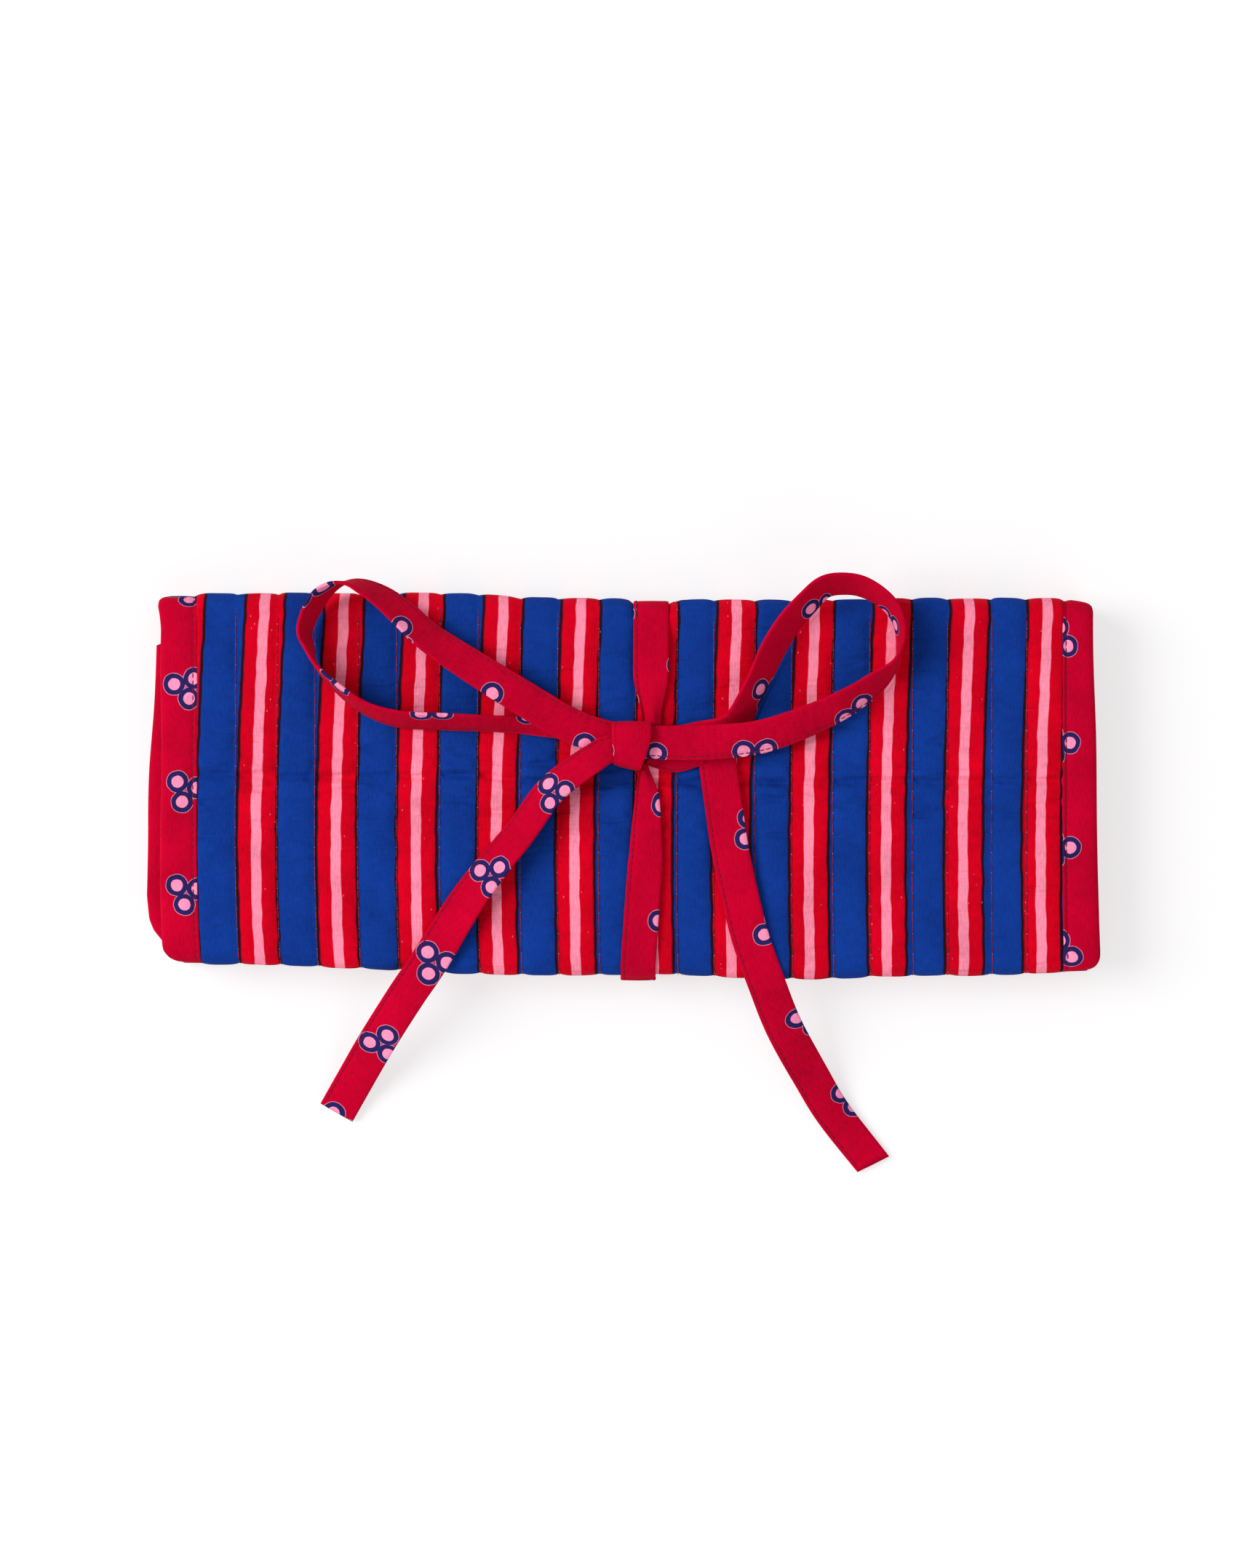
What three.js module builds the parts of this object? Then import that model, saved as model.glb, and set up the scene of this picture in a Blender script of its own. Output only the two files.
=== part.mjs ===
// Quilted jewelry roll, folded shut and tied with a bow. Millimetres, +Z up.
// X runs along the roll, +Y points to the fold, and the back panel rests on Z = 0.
import * as THREE from "three";

// Sizes that drive the object
const CHANNELS = 22;
const CHANNEL = 11.5;
const BORDER = 11.5;
const PANEL_HEIGHT = 112;
const FOLD_RADIUS = 6;
const COVER = 0.8;
const WADDING = 2.2;
const LINING = 0.8;
const CLEARANCE = 0.3;
const STITCH_DIP = 1.1;
const SEAM = 0.7;
const TONGUE_LENGTH = 7;
const BINDING_LEG = 0.6;
const END_BINDING = 8;
const PEEK = 4.6;
const TAPE_THICKNESS = 1.2;
const TAPE_SIDE_ROOM = 0.5;
const SLIP_POCKET_DEPTH = 52;
const SLIP_POCKET_QUILT = 3;
const SLIP_POCKET_ROOM = 2.2;
const RING_BAR_LENGTH = 160;
const RING_BAR_WIDTH = 10;
const RING_BAR_HEIGHT = 5.4;
const RING_TAB_LENGTH = 18;
const RING_TAB_THICKNESS = 1.2;
const SNAP_RADIUS = 4.2;
const POCKET_FABRIC = 0.8;
const BACK_ZIP_FROM_FOLD = 44;
const FRONT_ZIP_FROM_FOLD = 25;
const ZIP_TAPE_WIDTH = 7;
const ZIP_LENGTH = 226;
const CHAIN_WIDTH = 4.6;
const CHAIN_HEIGHT = 1.4;
const SLIDER_LENGTH = 11;
const SLIDER_PLATE = 1;
const PULL_LENGTH = 14;
const PULL_WIDTH = 5;
const PULL_THICKNESS = 1;
const KNOT_WIDTH = 11.6;
const KNOT_LENGTH = 13.8;
const KNOT_HEIGHT = 9.2;

// Sizes that follow from them
const QUILT = COVER + WADDING + LINING + 2 * CLEARANCE;
const HALF_QUILT = (CHANNELS * CHANNEL) / 2;
const HALF_WIDTH = HALF_QUILT + BORDER;
const HALF_HEIGHT = PANEL_HEIGHT / 2;
const TAPE_WIDTH = CHANNEL - 2 * TAPE_SIDE_ROOM;
const TIE_CHANNEL = Math.floor(CHANNELS / 2);
const TIE_X = -HALF_QUILT + (TIE_CHANNEL + 0.5) * CHANNEL;
const WADDING_INNER = COVER + CLEARANCE + WADDING;
const LINING_OUTER = WADDING_INNER + CLEARANCE;
const TAPE_RECESS = CLEARANCE / 3 + TAPE_THICKNESS + CLEARANCE;
const SLIP_POCKET_LEVEL = QUILT + RING_BAR_HEIGHT + 2.5 * CLEARANCE;
const THICKNESS = SLIP_POCKET_LEVEL + SLIP_POCKET_QUILT + SLIP_POCKET_ROOM + QUILT;
const HEM_RADIUS = (THICKNESS - SLIP_POCKET_LEVEL) / 2;
const FOLD_CENTRE = HALF_HEIGHT - FOLD_RADIUS;
const HEM_CENTRE = HEM_RADIUS - HALF_HEIGHT;
const HALF_GAP = CLEARANCE / 2;

const roll = new THREE.Group();
roll.name = "jewelry_roll";

// Each piece is a named mesh with a material of its own
function piece(name, geometry, color, roughness = 0.9, metalness = 0) {
  const material = new THREE.MeshStandardMaterial({ color, roughness, metalness });
  const mesh = new THREE.Mesh(geometry, material);
  mesh.name = name;
  roll.add(mesh);
  return mesh;
}

// A solid skinned through rings of points, closed by a cap at both ends
function loft(rings, outline, lastOutline = outline) {
  const count = outline.length;
  const index = [];
  for (let ring = 0; ring + 1 < rings.length; ring++) {
    for (let i = 0; i < count; i++) {
      const a = ring * count + i;
      const b = ring * count + ((i + 1) % count);
      const rising = outline[i].x <= outline[(i + 1) % count].x;
      if (rising) index.push(a, b, b + count, a, b + count, a + count);
      else index.push(a, b, a + count, b, b + count, a + count);
    }
  }
  const last = (rings.length - 1) * count;
  for (const [a, b, c] of THREE.ShapeUtils.triangulateShape(outline, [])) {
    index.push(a, c, b);
  }
  for (const [a, b, c] of THREE.ShapeUtils.triangulateShape(lastOutline, [])) {
    index.push(last + a, last + b, last + c);
  }
  const points = rings.flat();
  let volume = 0;
  const normal = new THREE.Vector3();
  for (let i = 0; i < index.length; i += 3) {
    const [a, b, c] = [points[index[i]], points[index[i + 1]], points[index[i + 2]]];
    volume += normal.crossVectors(b, c).dot(a);
  }
  if (volume < 0) index.reverse();
  const geometry = new THREE.BufferGeometry();
  const positions = points.flatMap((p) => [p.x, p.y, p.z]);
  geometry.setAttribute("position", new THREE.Float32BufferAttribute(positions, 3));
  geometry.setIndex(index);
  return geometry;
}

// Stations along the folded sheet: a point on the outer face and the way in
function flat(y, z, facing, more = {}) {
  return { y, z, inY: 0, inZ: facing, squeeze: 1, press: 0, shift: 0, width: 1, bulge: 0, ...more };
}

function bend(centreY, centreZ, radius, degrees, slip = 0, more = {}) {
  const angle = THREE.MathUtils.degToRad(degrees);
  const [cos, sin] = [Math.cos(angle), Math.sin(angle)];
  const y = centreY + radius * cos - slip * sin;
  const z = centreZ + radius * sin + slip * cos;
  return { ...flat(y, z, 0), inY: -cos, inZ: -sin, ...more };
}

// Outline points hold a place across the roll and a depth below the outer face
function spot(x, depth, more = {}) {
  return { x, depth, pressed: 0, bulged: 0, ...more };
}

function follow(outline, stations) {
  const turned = THREE.ShapeUtils.isClockWise(outline.map((p) => new THREE.Vector2(p.x, p.depth)));
  const points = turned ? [...outline].reverse() : outline;
  const rings = stations.map((at) =>
    points.map((p) => {
      const depth = p.depth * at.squeeze + p.pressed * at.press;
      const x = p.x * at.width + at.shift + p.bulged * at.bulge;
      return new THREE.Vector3(x, at.y + at.inY * depth, at.z + at.inZ * depth);
    }),
  );
  const face = (at) => points.map((p) => new THREE.Vector2(p.x, p.depth + p.pressed * at.press));
  return loft(rings, face(stations[0]), face(stations[stations.length - 1]));
}

function strip(left, right, outer, inner) {
  return [spot(left, outer), spot(right, outer), spot(right, inner), spot(left, inner)];
}

// The outer face dips at every row of stitching and is crowned or pressed flat between
function quiltLine(depth, flatShare, steps, recess) {
  const line = [];
  for (let channel = 0; channel < CHANNELS; channel++) {
    const pressed = channel === TIE_CHANNEL ? recess : 0;
    for (const step of steps) {
      const across = Math.max(0, Math.abs(2 * step - 1) - flatShare) / (1 - flatShare);
      const x = -HALF_QUILT + CLEARANCE + (channel + step) * (CHANNEL - (2 * CLEARANCE) / CHANNELS);
      const dip = STITCH_DIP * across * across;
      const deeper = step > 0 && step < 1 ? Math.max(0, pressed - dip) : 0;
      line.push(spot(x, depth + dip, { pressed: deeper }));
    }
  }
  line.push(spot(HALF_QUILT - CLEARANCE, depth + STITCH_DIP));
  return line;
}

const CROWNED = [0, 0.3, 0.7];
const CREST = 0.4;
const PRESSED = [0, 0.06, 0.94];
const PRESSED_CREST = 0.88;

function coverOutline(flatShare, steps, recess) {
  const outer = quiltLine(0, flatShare, steps, recess);
  const inner = quiltLine(COVER, flatShare, steps, recess);
  return [...outer, ...inner.reverse()];
}

function waddingOutline(flatShare, steps, recess) {
  const outer = quiltLine(COVER + CLEARANCE, flatShare, steps, recess);
  const side = HALF_QUILT + TONGUE_LENGTH;
  const right = [spot(side, WADDING_INNER - SEAM), spot(side, WADDING_INNER)];
  const left = [spot(-side, WADDING_INNER), spot(-side, WADDING_INNER - SEAM)];
  outer[0].depth = WADDING_INNER - SEAM;
  outer[outer.length - 1].depth = WADDING_INNER - SEAM;
  return [...outer, ...right, ...left];
}

function quiltOutline(inner) {
  const outer = quiltLine(0, CREST, CROWNED, 0);
  return [...outer, spot(HALF_QUILT - CLEARANCE, inner), spot(CLEARANCE - HALF_QUILT, inner)];
}

// A folded binding strip takes the sheet's raw edge between its two legs
function bindingOutline(side) {
  const slotOuter = WADDING_INNER - SEAM - CLEARANCE;
  const slotInner = WADDING_INNER + CLEARANCE;
  const [near, far] = [side * HALF_QUILT, side * HALF_WIDTH];
  const root = side * (HALF_QUILT + TONGUE_LENGTH + CLEARANCE);
  const edge = { bulged: side };
  return [
    spot(near, slotOuter - BINDING_LEG),
    spot(far, slotOuter - BINDING_LEG, edge),
    spot(far, QUILT, edge),
    spot(near, QUILT),
    spot(near, slotInner),
    spot(root, slotInner),
    spot(root, slotOuter),
    spot(near, slotOuter),
  ];
}

function bindings(name, stations, color, leftStations = stations) {
  piece(`${name}_left_binding`, follow(bindingOutline(-1), leftStations), color);
  piece(`${name}_right_binding`, follow(bindingOutline(1), stations), color);
}

const BLUE = 0x1b3f9e;
const RED = 0xc4062a;
const LINING_RED = 0xb8052a;
const CREAM = 0xe8dfcf;
const BRASS = 0xb8964a;

// Back panel: its quilted cover rests on the table and its free edge is bound
const backEnd = -HALF_HEIGHT + END_BINDING + CLEARANCE;
const backPath = [
  flat(FOLD_CENTRE, 0, 1, { press: 1 }),
  bend(FOLD_CENTRE, FOLD_RADIUS, FOLD_RADIUS, -67.5, 0, { press: 0.7 }),
  bend(FOLD_CENTRE, FOLD_RADIUS, FOLD_RADIUS, -45, -HALF_GAP),
];
const backStations = [flat(backEnd, 0, 1, { press: 1 }), ...backPath];
piece("back_cover", follow(coverOutline(PRESSED_CREST, PRESSED, TAPE_RECESS), backStations), BLUE);
piece("back_wadding", follow(waddingOutline(PRESSED_CREST, PRESSED, TAPE_RECESS), backStations), CREAM);
const liningOutline = strip(CLEARANCE - HALF_QUILT, HALF_QUILT - CLEARANCE, LINING_OUTER, QUILT);
piece("back_lining", follow(liningOutline, backStations), LINING_RED);
const bindingFace = WADDING_INNER - SEAM - CLEARANCE - BINDING_LEG;
const endOutline = strip(CLEARANCE - HALF_QUILT, HALF_QUILT - CLEARANCE, bindingFace, QUILT);
const endStations = [flat(-HALF_HEIGHT, 0, 1), flat(-HALF_HEIGHT + END_BINDING, 0, 1)];
piece("back_end_binding", follow(endOutline, endStations), RED);

// The back panel's left border sits askew and peeks out beside the front
const peekShape = [[-1, 0], [-0.8, 0], [-0.72, 0.5], [-0.57, 1], [0.1, 0.7], [0.74, 0.38], [0.75, 0]];
const peekStations = peekShape.map(([share, peek]) =>
  flat(share * HALF_HEIGHT, 0, 1, { bulge: peek * PEEK }),
);
bindings("back", [flat(-HALF_HEIGHT, 0, 1), ...backPath], RED, [...peekStations, ...backPath]);

// Top fold: a quilted spine between the back and the front
function spine(radius, parting = HALF_GAP) {
  const upper = THICKNESS - FOLD_RADIUS;
  return [
    bend(FOLD_CENTRE, FOLD_RADIUS, radius, -45, parting),
    bend(FOLD_CENTRE, FOLD_RADIUS, radius, -22.5),
    bend(FOLD_CENTRE, FOLD_RADIUS, radius, 0),
    bend(FOLD_CENTRE, upper, radius, 0),
    bend(FOLD_CENTRE, upper, radius, 22.5),
    bend(FOLD_CENTRE, upper, radius, 45, -parting),
  ];
}
piece("top_fold_quilt", follow(quiltOutline(QUILT), spine(FOLD_RADIUS)), BLUE);
bindings("top_fold", spine(FOLD_RADIUS), RED);

// Front panel: the striped and quilted face
const thin = { squeeze: SLIP_POCKET_QUILT / QUILT };
function overFront(radius, parting = HALF_GAP) {
  return [
    bend(FOLD_CENTRE, THICKNESS - FOLD_RADIUS, radius, 45, parting),
    bend(FOLD_CENTRE, THICKNESS - FOLD_RADIUS, radius, 67.5),
    bend(FOLD_CENTRE, THICKNESS - FOLD_RADIUS, radius, 90),
  ];
}
const frontStations = [
  ...overFront(FOLD_RADIUS),
  flat(HEM_CENTRE + 2 * HEM_RADIUS, THICKNESS, -1),
  flat(HEM_CENTRE + CLEARANCE, THICKNESS, -1, thin),
];
piece("front_cover", follow(coverOutline(CREST, CROWNED, 0), frontStations), BLUE);
piece("front_wadding", follow(waddingOutline(CREST, CROWNED, 0), frontStations), CREAM);
piece("front_lining", follow(liningOutline, frontStations), LINING_RED);
bindings("front", frontStations, RED);

// Hem fold: the sheet turns under along the front's lower edge
const hemStations = [90, 135, 180, 225, 270].map((degrees) =>
  bend(HEM_CENTRE, THICKNESS - HEM_RADIUS, HEM_RADIUS, degrees, 0, thin),
);
piece("hem_fold_quilt", follow(quiltOutline(QUILT), hemStations), BLUE);
bindings("hem_fold", hemStations, RED);

// Slip pocket: the turned-under end, open towards the fold
const mouth = -HALF_HEIGHT + SLIP_POCKET_DEPTH;
const slipStart = flat(HEM_CENTRE + CLEARANCE, SLIP_POCKET_LEVEL, 1, thin);
const slipStations = [slipStart, flat(mouth - END_BINDING, SLIP_POCKET_LEVEL, 1, thin)];
piece("slip_pocket_quilt", follow(quiltOutline(QUILT), slipStations), BLUE);
bindings("slip_pocket", [slipStart, flat(mouth, SLIP_POCKET_LEVEL, 1, thin)], RED);
const mouthStations = [
  flat(mouth - END_BINDING + CLEARANCE, SLIP_POCKET_LEVEL, 1, thin),
  flat(mouth, SLIP_POCKET_LEVEL, 1, thin),
];
piece("slip_pocket_mouth_binding", follow(endOutline, mouthStations), RED);

// A zipped pocket on a lining; place puts its zip line, facing up or down
function box(x0, x1, y0, y1, z0, z1) {
  const geometry = new THREE.BoxGeometry(x1 - x0, y1 - y0, z1 - z0);
  return geometry.translate((x0 + x1) / 2, (y0 + y1) / 2, (z0 + z1) / 2);
}

function outlineAlongX(corners, length) {
  const shape = new THREE.Shape(corners.map(([y, z]) => new THREE.Vector2(y, z)));
  const geometry = new THREE.ExtrudeGeometry(shape, { depth: length, bevelEnabled: false });
  const swap = new THREE.Matrix4().set(0, 0, 1, -length / 2, 1, 0, 0, 0, 0, 1, 0, 0, 0, 0, 0, 1);
  return geometry.applyMatrix4(swap);
}

function zipPocket(name, place, lowerDepth, upperDepth, sliderX) {
  const put = (part, shape, ...look) => piece(`${name}_${part}`, shape.applyMatrix4(place), ...look);
  const half = ZIP_LENGTH / 2;
  const base = CLEARANCE;
  const tapeEdge = CLEARANCE + ZIP_TAPE_WIDTH;
  const seam = tapeEdge + CLEARANCE;
  const side = half + 2 * CLEARANCE + 4;
  const top = base + POCKET_FABRIC;
  put("pocket_panel", box(-side, side, -seam - lowerDepth, -seam, base, top), LINING_RED);
  put("pocket_strip", box(-side, side, seam, seam + upperDepth, base, top), LINING_RED);
  put("zip_tape_lower", box(-side, side, -tapeEdge, -CLEARANCE, base, top), RED);
  put("zip_tape_upper", box(-side, side, CLEARANCE, tapeEdge, base, top), RED);
  const chainBase = top + CLEARANCE;
  const chainTop = chainBase + CHAIN_HEIGHT;
  const halfChain = CHAIN_WIDTH / 2;
  put("zip_chain", box(-half, half, -halfChain, halfChain, chainBase, chainTop), BRASS, 0.4, 0.9);
  const inner = halfChain + CLEARANCE;
  const outer = inner + SLIDER_PLATE;
  const plate = chainTop + CLEARANCE;
  const deck = plate + SLIDER_PLATE;
  const rail = PULL_WIDTH / 2 + CLEARANCE;
  const crown = deck + CLEARANCE + PULL_THICKNESS;
  const right = [[inner, plate], [inner, chainBase], [outer, chainBase], [outer, deck]];
  const railOuter = rail + SLIDER_PLATE;
  const railRight = [[railOuter, deck], [railOuter, crown], [rail, crown], [rail, deck]];
  const sliderHalf = [...right, ...railRight];
  const mirrored = sliderHalf.map(([y, z]) => [-y, z]).reverse();
  const slider = outlineAlongX([...sliderHalf, ...mirrored], SLIDER_LENGTH).translate(sliderX, 0, 0);
  put("zip_slider", slider, BRASS, 0.35, 0.9);
  const pivot = deck + CLEARANCE + PULL_THICKNESS / 2;
  const outline = new THREE.Shape();
  const round = PULL_THICKNESS / 2;
  outline.absarc(0, 0, round, -Math.PI / 2, Math.PI / 2, false);
  outline.lineTo(-PULL_LENGTH, round);
  outline.lineTo(-PULL_LENGTH, -round);
  outline.closePath();
  const pull = new THREE.ExtrudeGeometry(outline, { depth: PULL_WIDTH, bevelEnabled: false, curveSegments: 6 });
  pull.translate(0, 0, -PULL_WIDTH / 2).rotateX(Math.PI / 2).translate(sliderX, 0, pivot);
  put("zip_pull", pull, BRASS, 0.35, 0.9);
}

const ringBarY = -HALF_HEIGHT + END_BINDING + 2 * CLEARANCE + RING_BAR_WIDTH / 2;
const zipSeam = 2 * CLEARANCE + ZIP_TAPE_WIDTH;
const backZipY = HALF_HEIGHT - BACK_ZIP_FROM_FOLD;
const backLower = backZipY - zipSeam - (ringBarY + RING_BAR_WIDTH / 2 + 4);
const backUpper = FOLD_CENTRE - 2 - (backZipY + zipSeam);
const backPlace = new THREE.Matrix4().makeTranslation(0, backZipY, QUILT);
zipPocket("back", backPlace, backLower, backUpper, ZIP_LENGTH / 2 - 2 * SLIDER_LENGTH);
const frontZipY = HALF_HEIGHT - FRONT_ZIP_FROM_FOLD;
const frontLower = FOLD_CENTRE - 2 - (frontZipY + zipSeam);
const frontUpper = frontZipY - zipSeam - (mouth + 4);
const frontPlace = new THREE.Matrix4().makeRotationX(Math.PI);
frontPlace.setPosition(0, frontZipY, THICKNESS - QUILT);
zipPocket("front", frontPlace, frontLower, frontUpper, ZIP_LENGTH / 2 - 2 * SLIDER_LENGTH);

// Ring bar: a stuffed roll sewn down at the left and snapped at the right
const ringStart = -(RING_BAR_LENGTH + RING_TAB_LENGTH) / 2;
const ringEnd = ringStart + RING_BAR_LENGTH;
const ringBase = QUILT + CLEARANCE;
const ringMiddle = ringBase + RING_BAR_HEIGHT / 2;
const socketTop = ringBase + 1;
const studTop = socketTop + CLEARANCE + 0.6;
const tabMiddle = studTop + CLEARANCE + RING_TAB_THICKNESS / 2;
const oval = [];
for (let i = 0; i < 14; i++) {
  const angle = (i / 14) * 2 * Math.PI;
  oval.push(new THREE.Vector2(Math.cos(angle), Math.sin(angle)));
}
function ovalAt(x, wide, middle, high) {
  return oval.map((p) => new THREE.Vector3(x, ringBarY + (p.x * wide) / 2, middle + (p.y * high) / 2));
}
const ringBar = loft(
  [
    ovalAt(ringStart, RING_BAR_WIDTH * 0.8, ringBase + 0.8, 1.6),
    ovalAt(ringStart + 5, RING_BAR_WIDTH, ringMiddle, RING_BAR_HEIGHT),
    ovalAt(ringEnd - 5, RING_BAR_WIDTH, ringMiddle, RING_BAR_HEIGHT),
    ovalAt(ringEnd, RING_BAR_WIDTH * 0.9, tabMiddle, RING_TAB_THICKNESS),
    ovalAt(ringEnd + RING_TAB_LENGTH - 2, RING_BAR_WIDTH * 0.9, tabMiddle, RING_TAB_THICKNESS),
    ovalAt(ringEnd + RING_TAB_LENGTH, RING_BAR_WIDTH * 0.6, tabMiddle, RING_TAB_THICKNESS),
  ],
  oval,
);
piece("ring_bar", ringBar, RED);

function turned(profile, x, y) {
  const line = profile.map(([radius, z]) => new THREE.Vector2(radius, z));
  return new THREE.LatheGeometry(line, 20).rotateX(Math.PI / 2).translate(x, y, 0);
}
const snapX = ringEnd + RING_TAB_LENGTH - SNAP_RADIUS - 2;
const hole = SNAP_RADIUS * 0.42;
const socket = [
  [hole, ringBase],
  [SNAP_RADIUS, ringBase],
  [SNAP_RADIUS, socketTop],
  [hole, socketTop],
  [hole, ringBase],
];
piece("snap_socket", turned(socket, snapX, ringBarY), BRASS, 0.3, 0.9);
const nub = hole - CLEARANCE;
const flange = SNAP_RADIUS * 0.8;
const studBase = socketTop + CLEARANCE;
const stud = [
  [0, ringBase + CLEARANCE],
  [nub, ringBase + CLEARANCE],
  [nub, studBase],
  [flange, studBase],
  [flange, studTop],
  [0, studTop],
];
piece("snap_stud", turned(stud, snapX, ringBarY), BRASS, 0.3, 0.9);
const capBase = tabMiddle + RING_TAB_THICKNESS / 2 + CLEARANCE;
const cap = [[0, capBase], [SNAP_RADIUS, capBase], [SNAP_RADIUS * 0.8, capBase + 0.8], [0, capBase + 0.8]];
piece("snap_cap", turned(cap, snapX, ringBarY), BRASS, 0.3, 0.9);

// Tie: one tape round the middle, sewn to the back's free edge
const tapeOutline = strip(-TAPE_WIDTH / 2, TAPE_WIDTH / 2, 0, TAPE_THICKNESS);
const tapeRadius = FOLD_RADIUS + CLEARANCE + TAPE_THICKNESS;
// The tape lies outside the fold lines, so it parts there by what the folds take up in opening
const foldLine = (Math.PI / 4) * Math.SQRT2 * FOLD_RADIUS;
const tapeParting = HALF_GAP + Math.max(0, tapeRadius - foldLine);
const tapeFace = THICKNESS + CLEARANCE + TAPE_THICKNESS;
const under = CLEARANCE / 3;
const onTie = (station) => ({ ...station, shift: TIE_X });
const lowBend = (FOLD_RADIUS - under) / Math.sin(THREE.MathUtils.degToRad(67.5));
const endRadius = 2;
const endY = -HALF_HEIGHT - CLEARANCE - TAPE_THICKNESS;
const hemX = 2.6;
const backTie = [
  onTie(bend(FOLD_CENTRE, FOLD_RADIUS, tapeRadius, -45, -tapeParting)),
  onTie(bend(FOLD_CENTRE, FOLD_RADIUS, lowBend, -67.5)),
  onTie(flat(FOLD_CENTRE, under, 1)),
  onTie(flat(endY + endRadius, under, 1)),
  onTie(bend(endY + endRadius, under + endRadius, endRadius, -135)),
  onTie(bend(endY + endRadius, under + endRadius, endRadius, -180)),
  { ...bend(endY + endRadius, THICKNESS - HEM_RADIUS - HALF_GAP, endRadius, -180), shift: hemX },
];
piece("tie_back_strand", follow(tapeOutline, backTie), RED);
piece("tie_top_strand", follow(tapeOutline, spine(tapeRadius, tapeParting).map(onTie)), RED);

const knotX = 0.2;
const knotY = 12.35;
const knotTop = knotY + KNOT_LENGTH / 2;
const knotBottom = knotY - KNOT_LENGTH / 2;
const upperTie = [
  ...overFront(tapeRadius, tapeParting).map(onTie),
  flat(knotTop + 14, tapeFace, -1, { shift: TIE_X }),
  flat(knotTop + CLEARANCE, tapeFace, -1, { shift: TIE_X - 0.4, width: 0.66 }),
];
piece("tie_upper_strand", follow(tapeOutline, upperTie), RED);
const tapeHemRadius = HEM_RADIUS + CLEARANCE + TAPE_THICKNESS;
const lowerTie = [
  flat(knotBottom - 1, tapeFace, -1, { shift: 4.2, width: 0.4 }),
  flat(knotBottom - 9, tapeFace, -1, { shift: 5.2, width: 0.85 }),
  flat(knotBottom - 24, tapeFace, -1, { shift: 4.8 }),
  flat(HEM_CENTRE, tapeFace, -1, { shift: hemX + 0.2 }),
  bend(HEM_CENTRE, THICKNESS - HEM_RADIUS, tapeHemRadius, 135, 0, { shift: hemX }),
  bend(HEM_CENTRE, THICKNESS - HEM_RADIUS, tapeHemRadius, 180, -HALF_GAP, { shift: hemX }),
];
piece("tie_lower_strand", follow(tapeOutline, lowerTie), RED);

// Knot: the tape's wrap over the crossing
const knotShape = [];
for (let i = 0; i <= 10; i++) {
  const angle = (i / 10) * Math.PI;
  const across = Math.sign(Math.cos(angle)) * Math.pow(Math.abs(Math.cos(angle)), 0.6);
  knotShape.push(new THREE.Vector2((across * KNOT_WIDTH) / 2, Math.pow(Math.sin(angle), 0.6)));
}
const knotRings = [[0.5, 1, 0.62], [0.42, 1, 0.86], [0, 0.98, 1], [-0.36, 0.9, 0.92], [-0.5, 0.78, 0.6]];
const knot = knotRings.map(([along, wide, high]) =>
  knotShape.map((p) => {
    const z = THICKNESS + CLEARANCE + p.y * high * KNOT_HEIGHT;
    return new THREE.Vector3(knotX + p.x * wide, knotY + along * KNOT_LENGTH, z);
  }),
);
piece("tie_knot", loft(knot, knotShape), RED);

// Free tape of the bow: place, height over the front face and tilt from lying flat
function ribbon(name, route, wide) {
  const points = route.map(([x, y, lift]) => new THREE.Vector3(x, y, THICKNESS + lift));
  const centre = new THREE.CatmullRomCurve3(points);
  const spans = route.length - 1;
  const cuts = 3;
  const up = new THREE.Vector3(0, 0, 1);
  const section = [[-1, -1], [1, -1], [1, 1], [-1, 1]];
  const rings = [];
  for (let i = 0; i <= spans * cuts; i++) {
    const share = i / (spans * cuts);
    const from = Math.min(spans - 1, Math.floor(i / cuts));
    const tilt = THREE.MathUtils.lerp(route[from][3], route[from + 1][3], i / cuts - from);
    const along = centre.getTangent(share);
    const across = new THREE.Vector3().crossVectors(up, along).normalize();
    across.applyAxisAngle(along, THREE.MathUtils.degToRad(tilt));
    const face = new THREE.Vector3().crossVectors(along, across);
    const middle = centre.getPoint(share);
    rings.push(
      section.map(([a, b]) =>
        middle.clone().addScaledVector(across, (a * wide) / 2).addScaledVector(face, (b * TAPE_THICKNESS) / 2),
      ),
    );
  }
  piece(name, loft(rings, section.map(([a, b]) => new THREE.Vector2(a, b))), RED);
}

const knotLeft = knotX - KNOT_WIDTH / 2 - CLEARANCE;
const knotRight = knotX + KNOT_WIDTH / 2 + CLEARANCE;
ribbon("tie_left_loop", [
  [knotLeft - 1, 15.4, 4.2, 4],
  [-18.0, 18.7, 5.6, 8],
  [-35.8, 28.7, 8.2, 14],
  [-57.3, 42.5, 7.0, 34],
  [-65.9, 50.2, 6.6, 50],
  [-72.3, 55.8, 6.4, 65],
  [-78.7, 59.2, 6.3, 82],
  [-83.4, 59.8, 6.2, 92],
  [-88.4, 58.1, 6.2, 104],
  [-92.4, 54.3, 6.1, 114],
  [-95.7, 46.3, 6.1, 112],
  [-94.4, 40.8, 6.1, 104],
  [-92.0, 35.2, 6.1, 95],
  [-84.9, 28.5, 6.1, 82],
  [-77.4, 23.8, 6.1, 72],
  [-67.8, 20.6, 6.0, 66],
  [-54.9, 19.5, 5.8, 64],
  [-40.0, 18.4, 5.4, 60],
  [-30.0, 17.4, 3.4, 25],
  [-20.8, 16.2, 2.2, 6],
  [knotLeft - 1, 14.4, 1.8, 2],
], TAPE_WIDTH);
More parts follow.
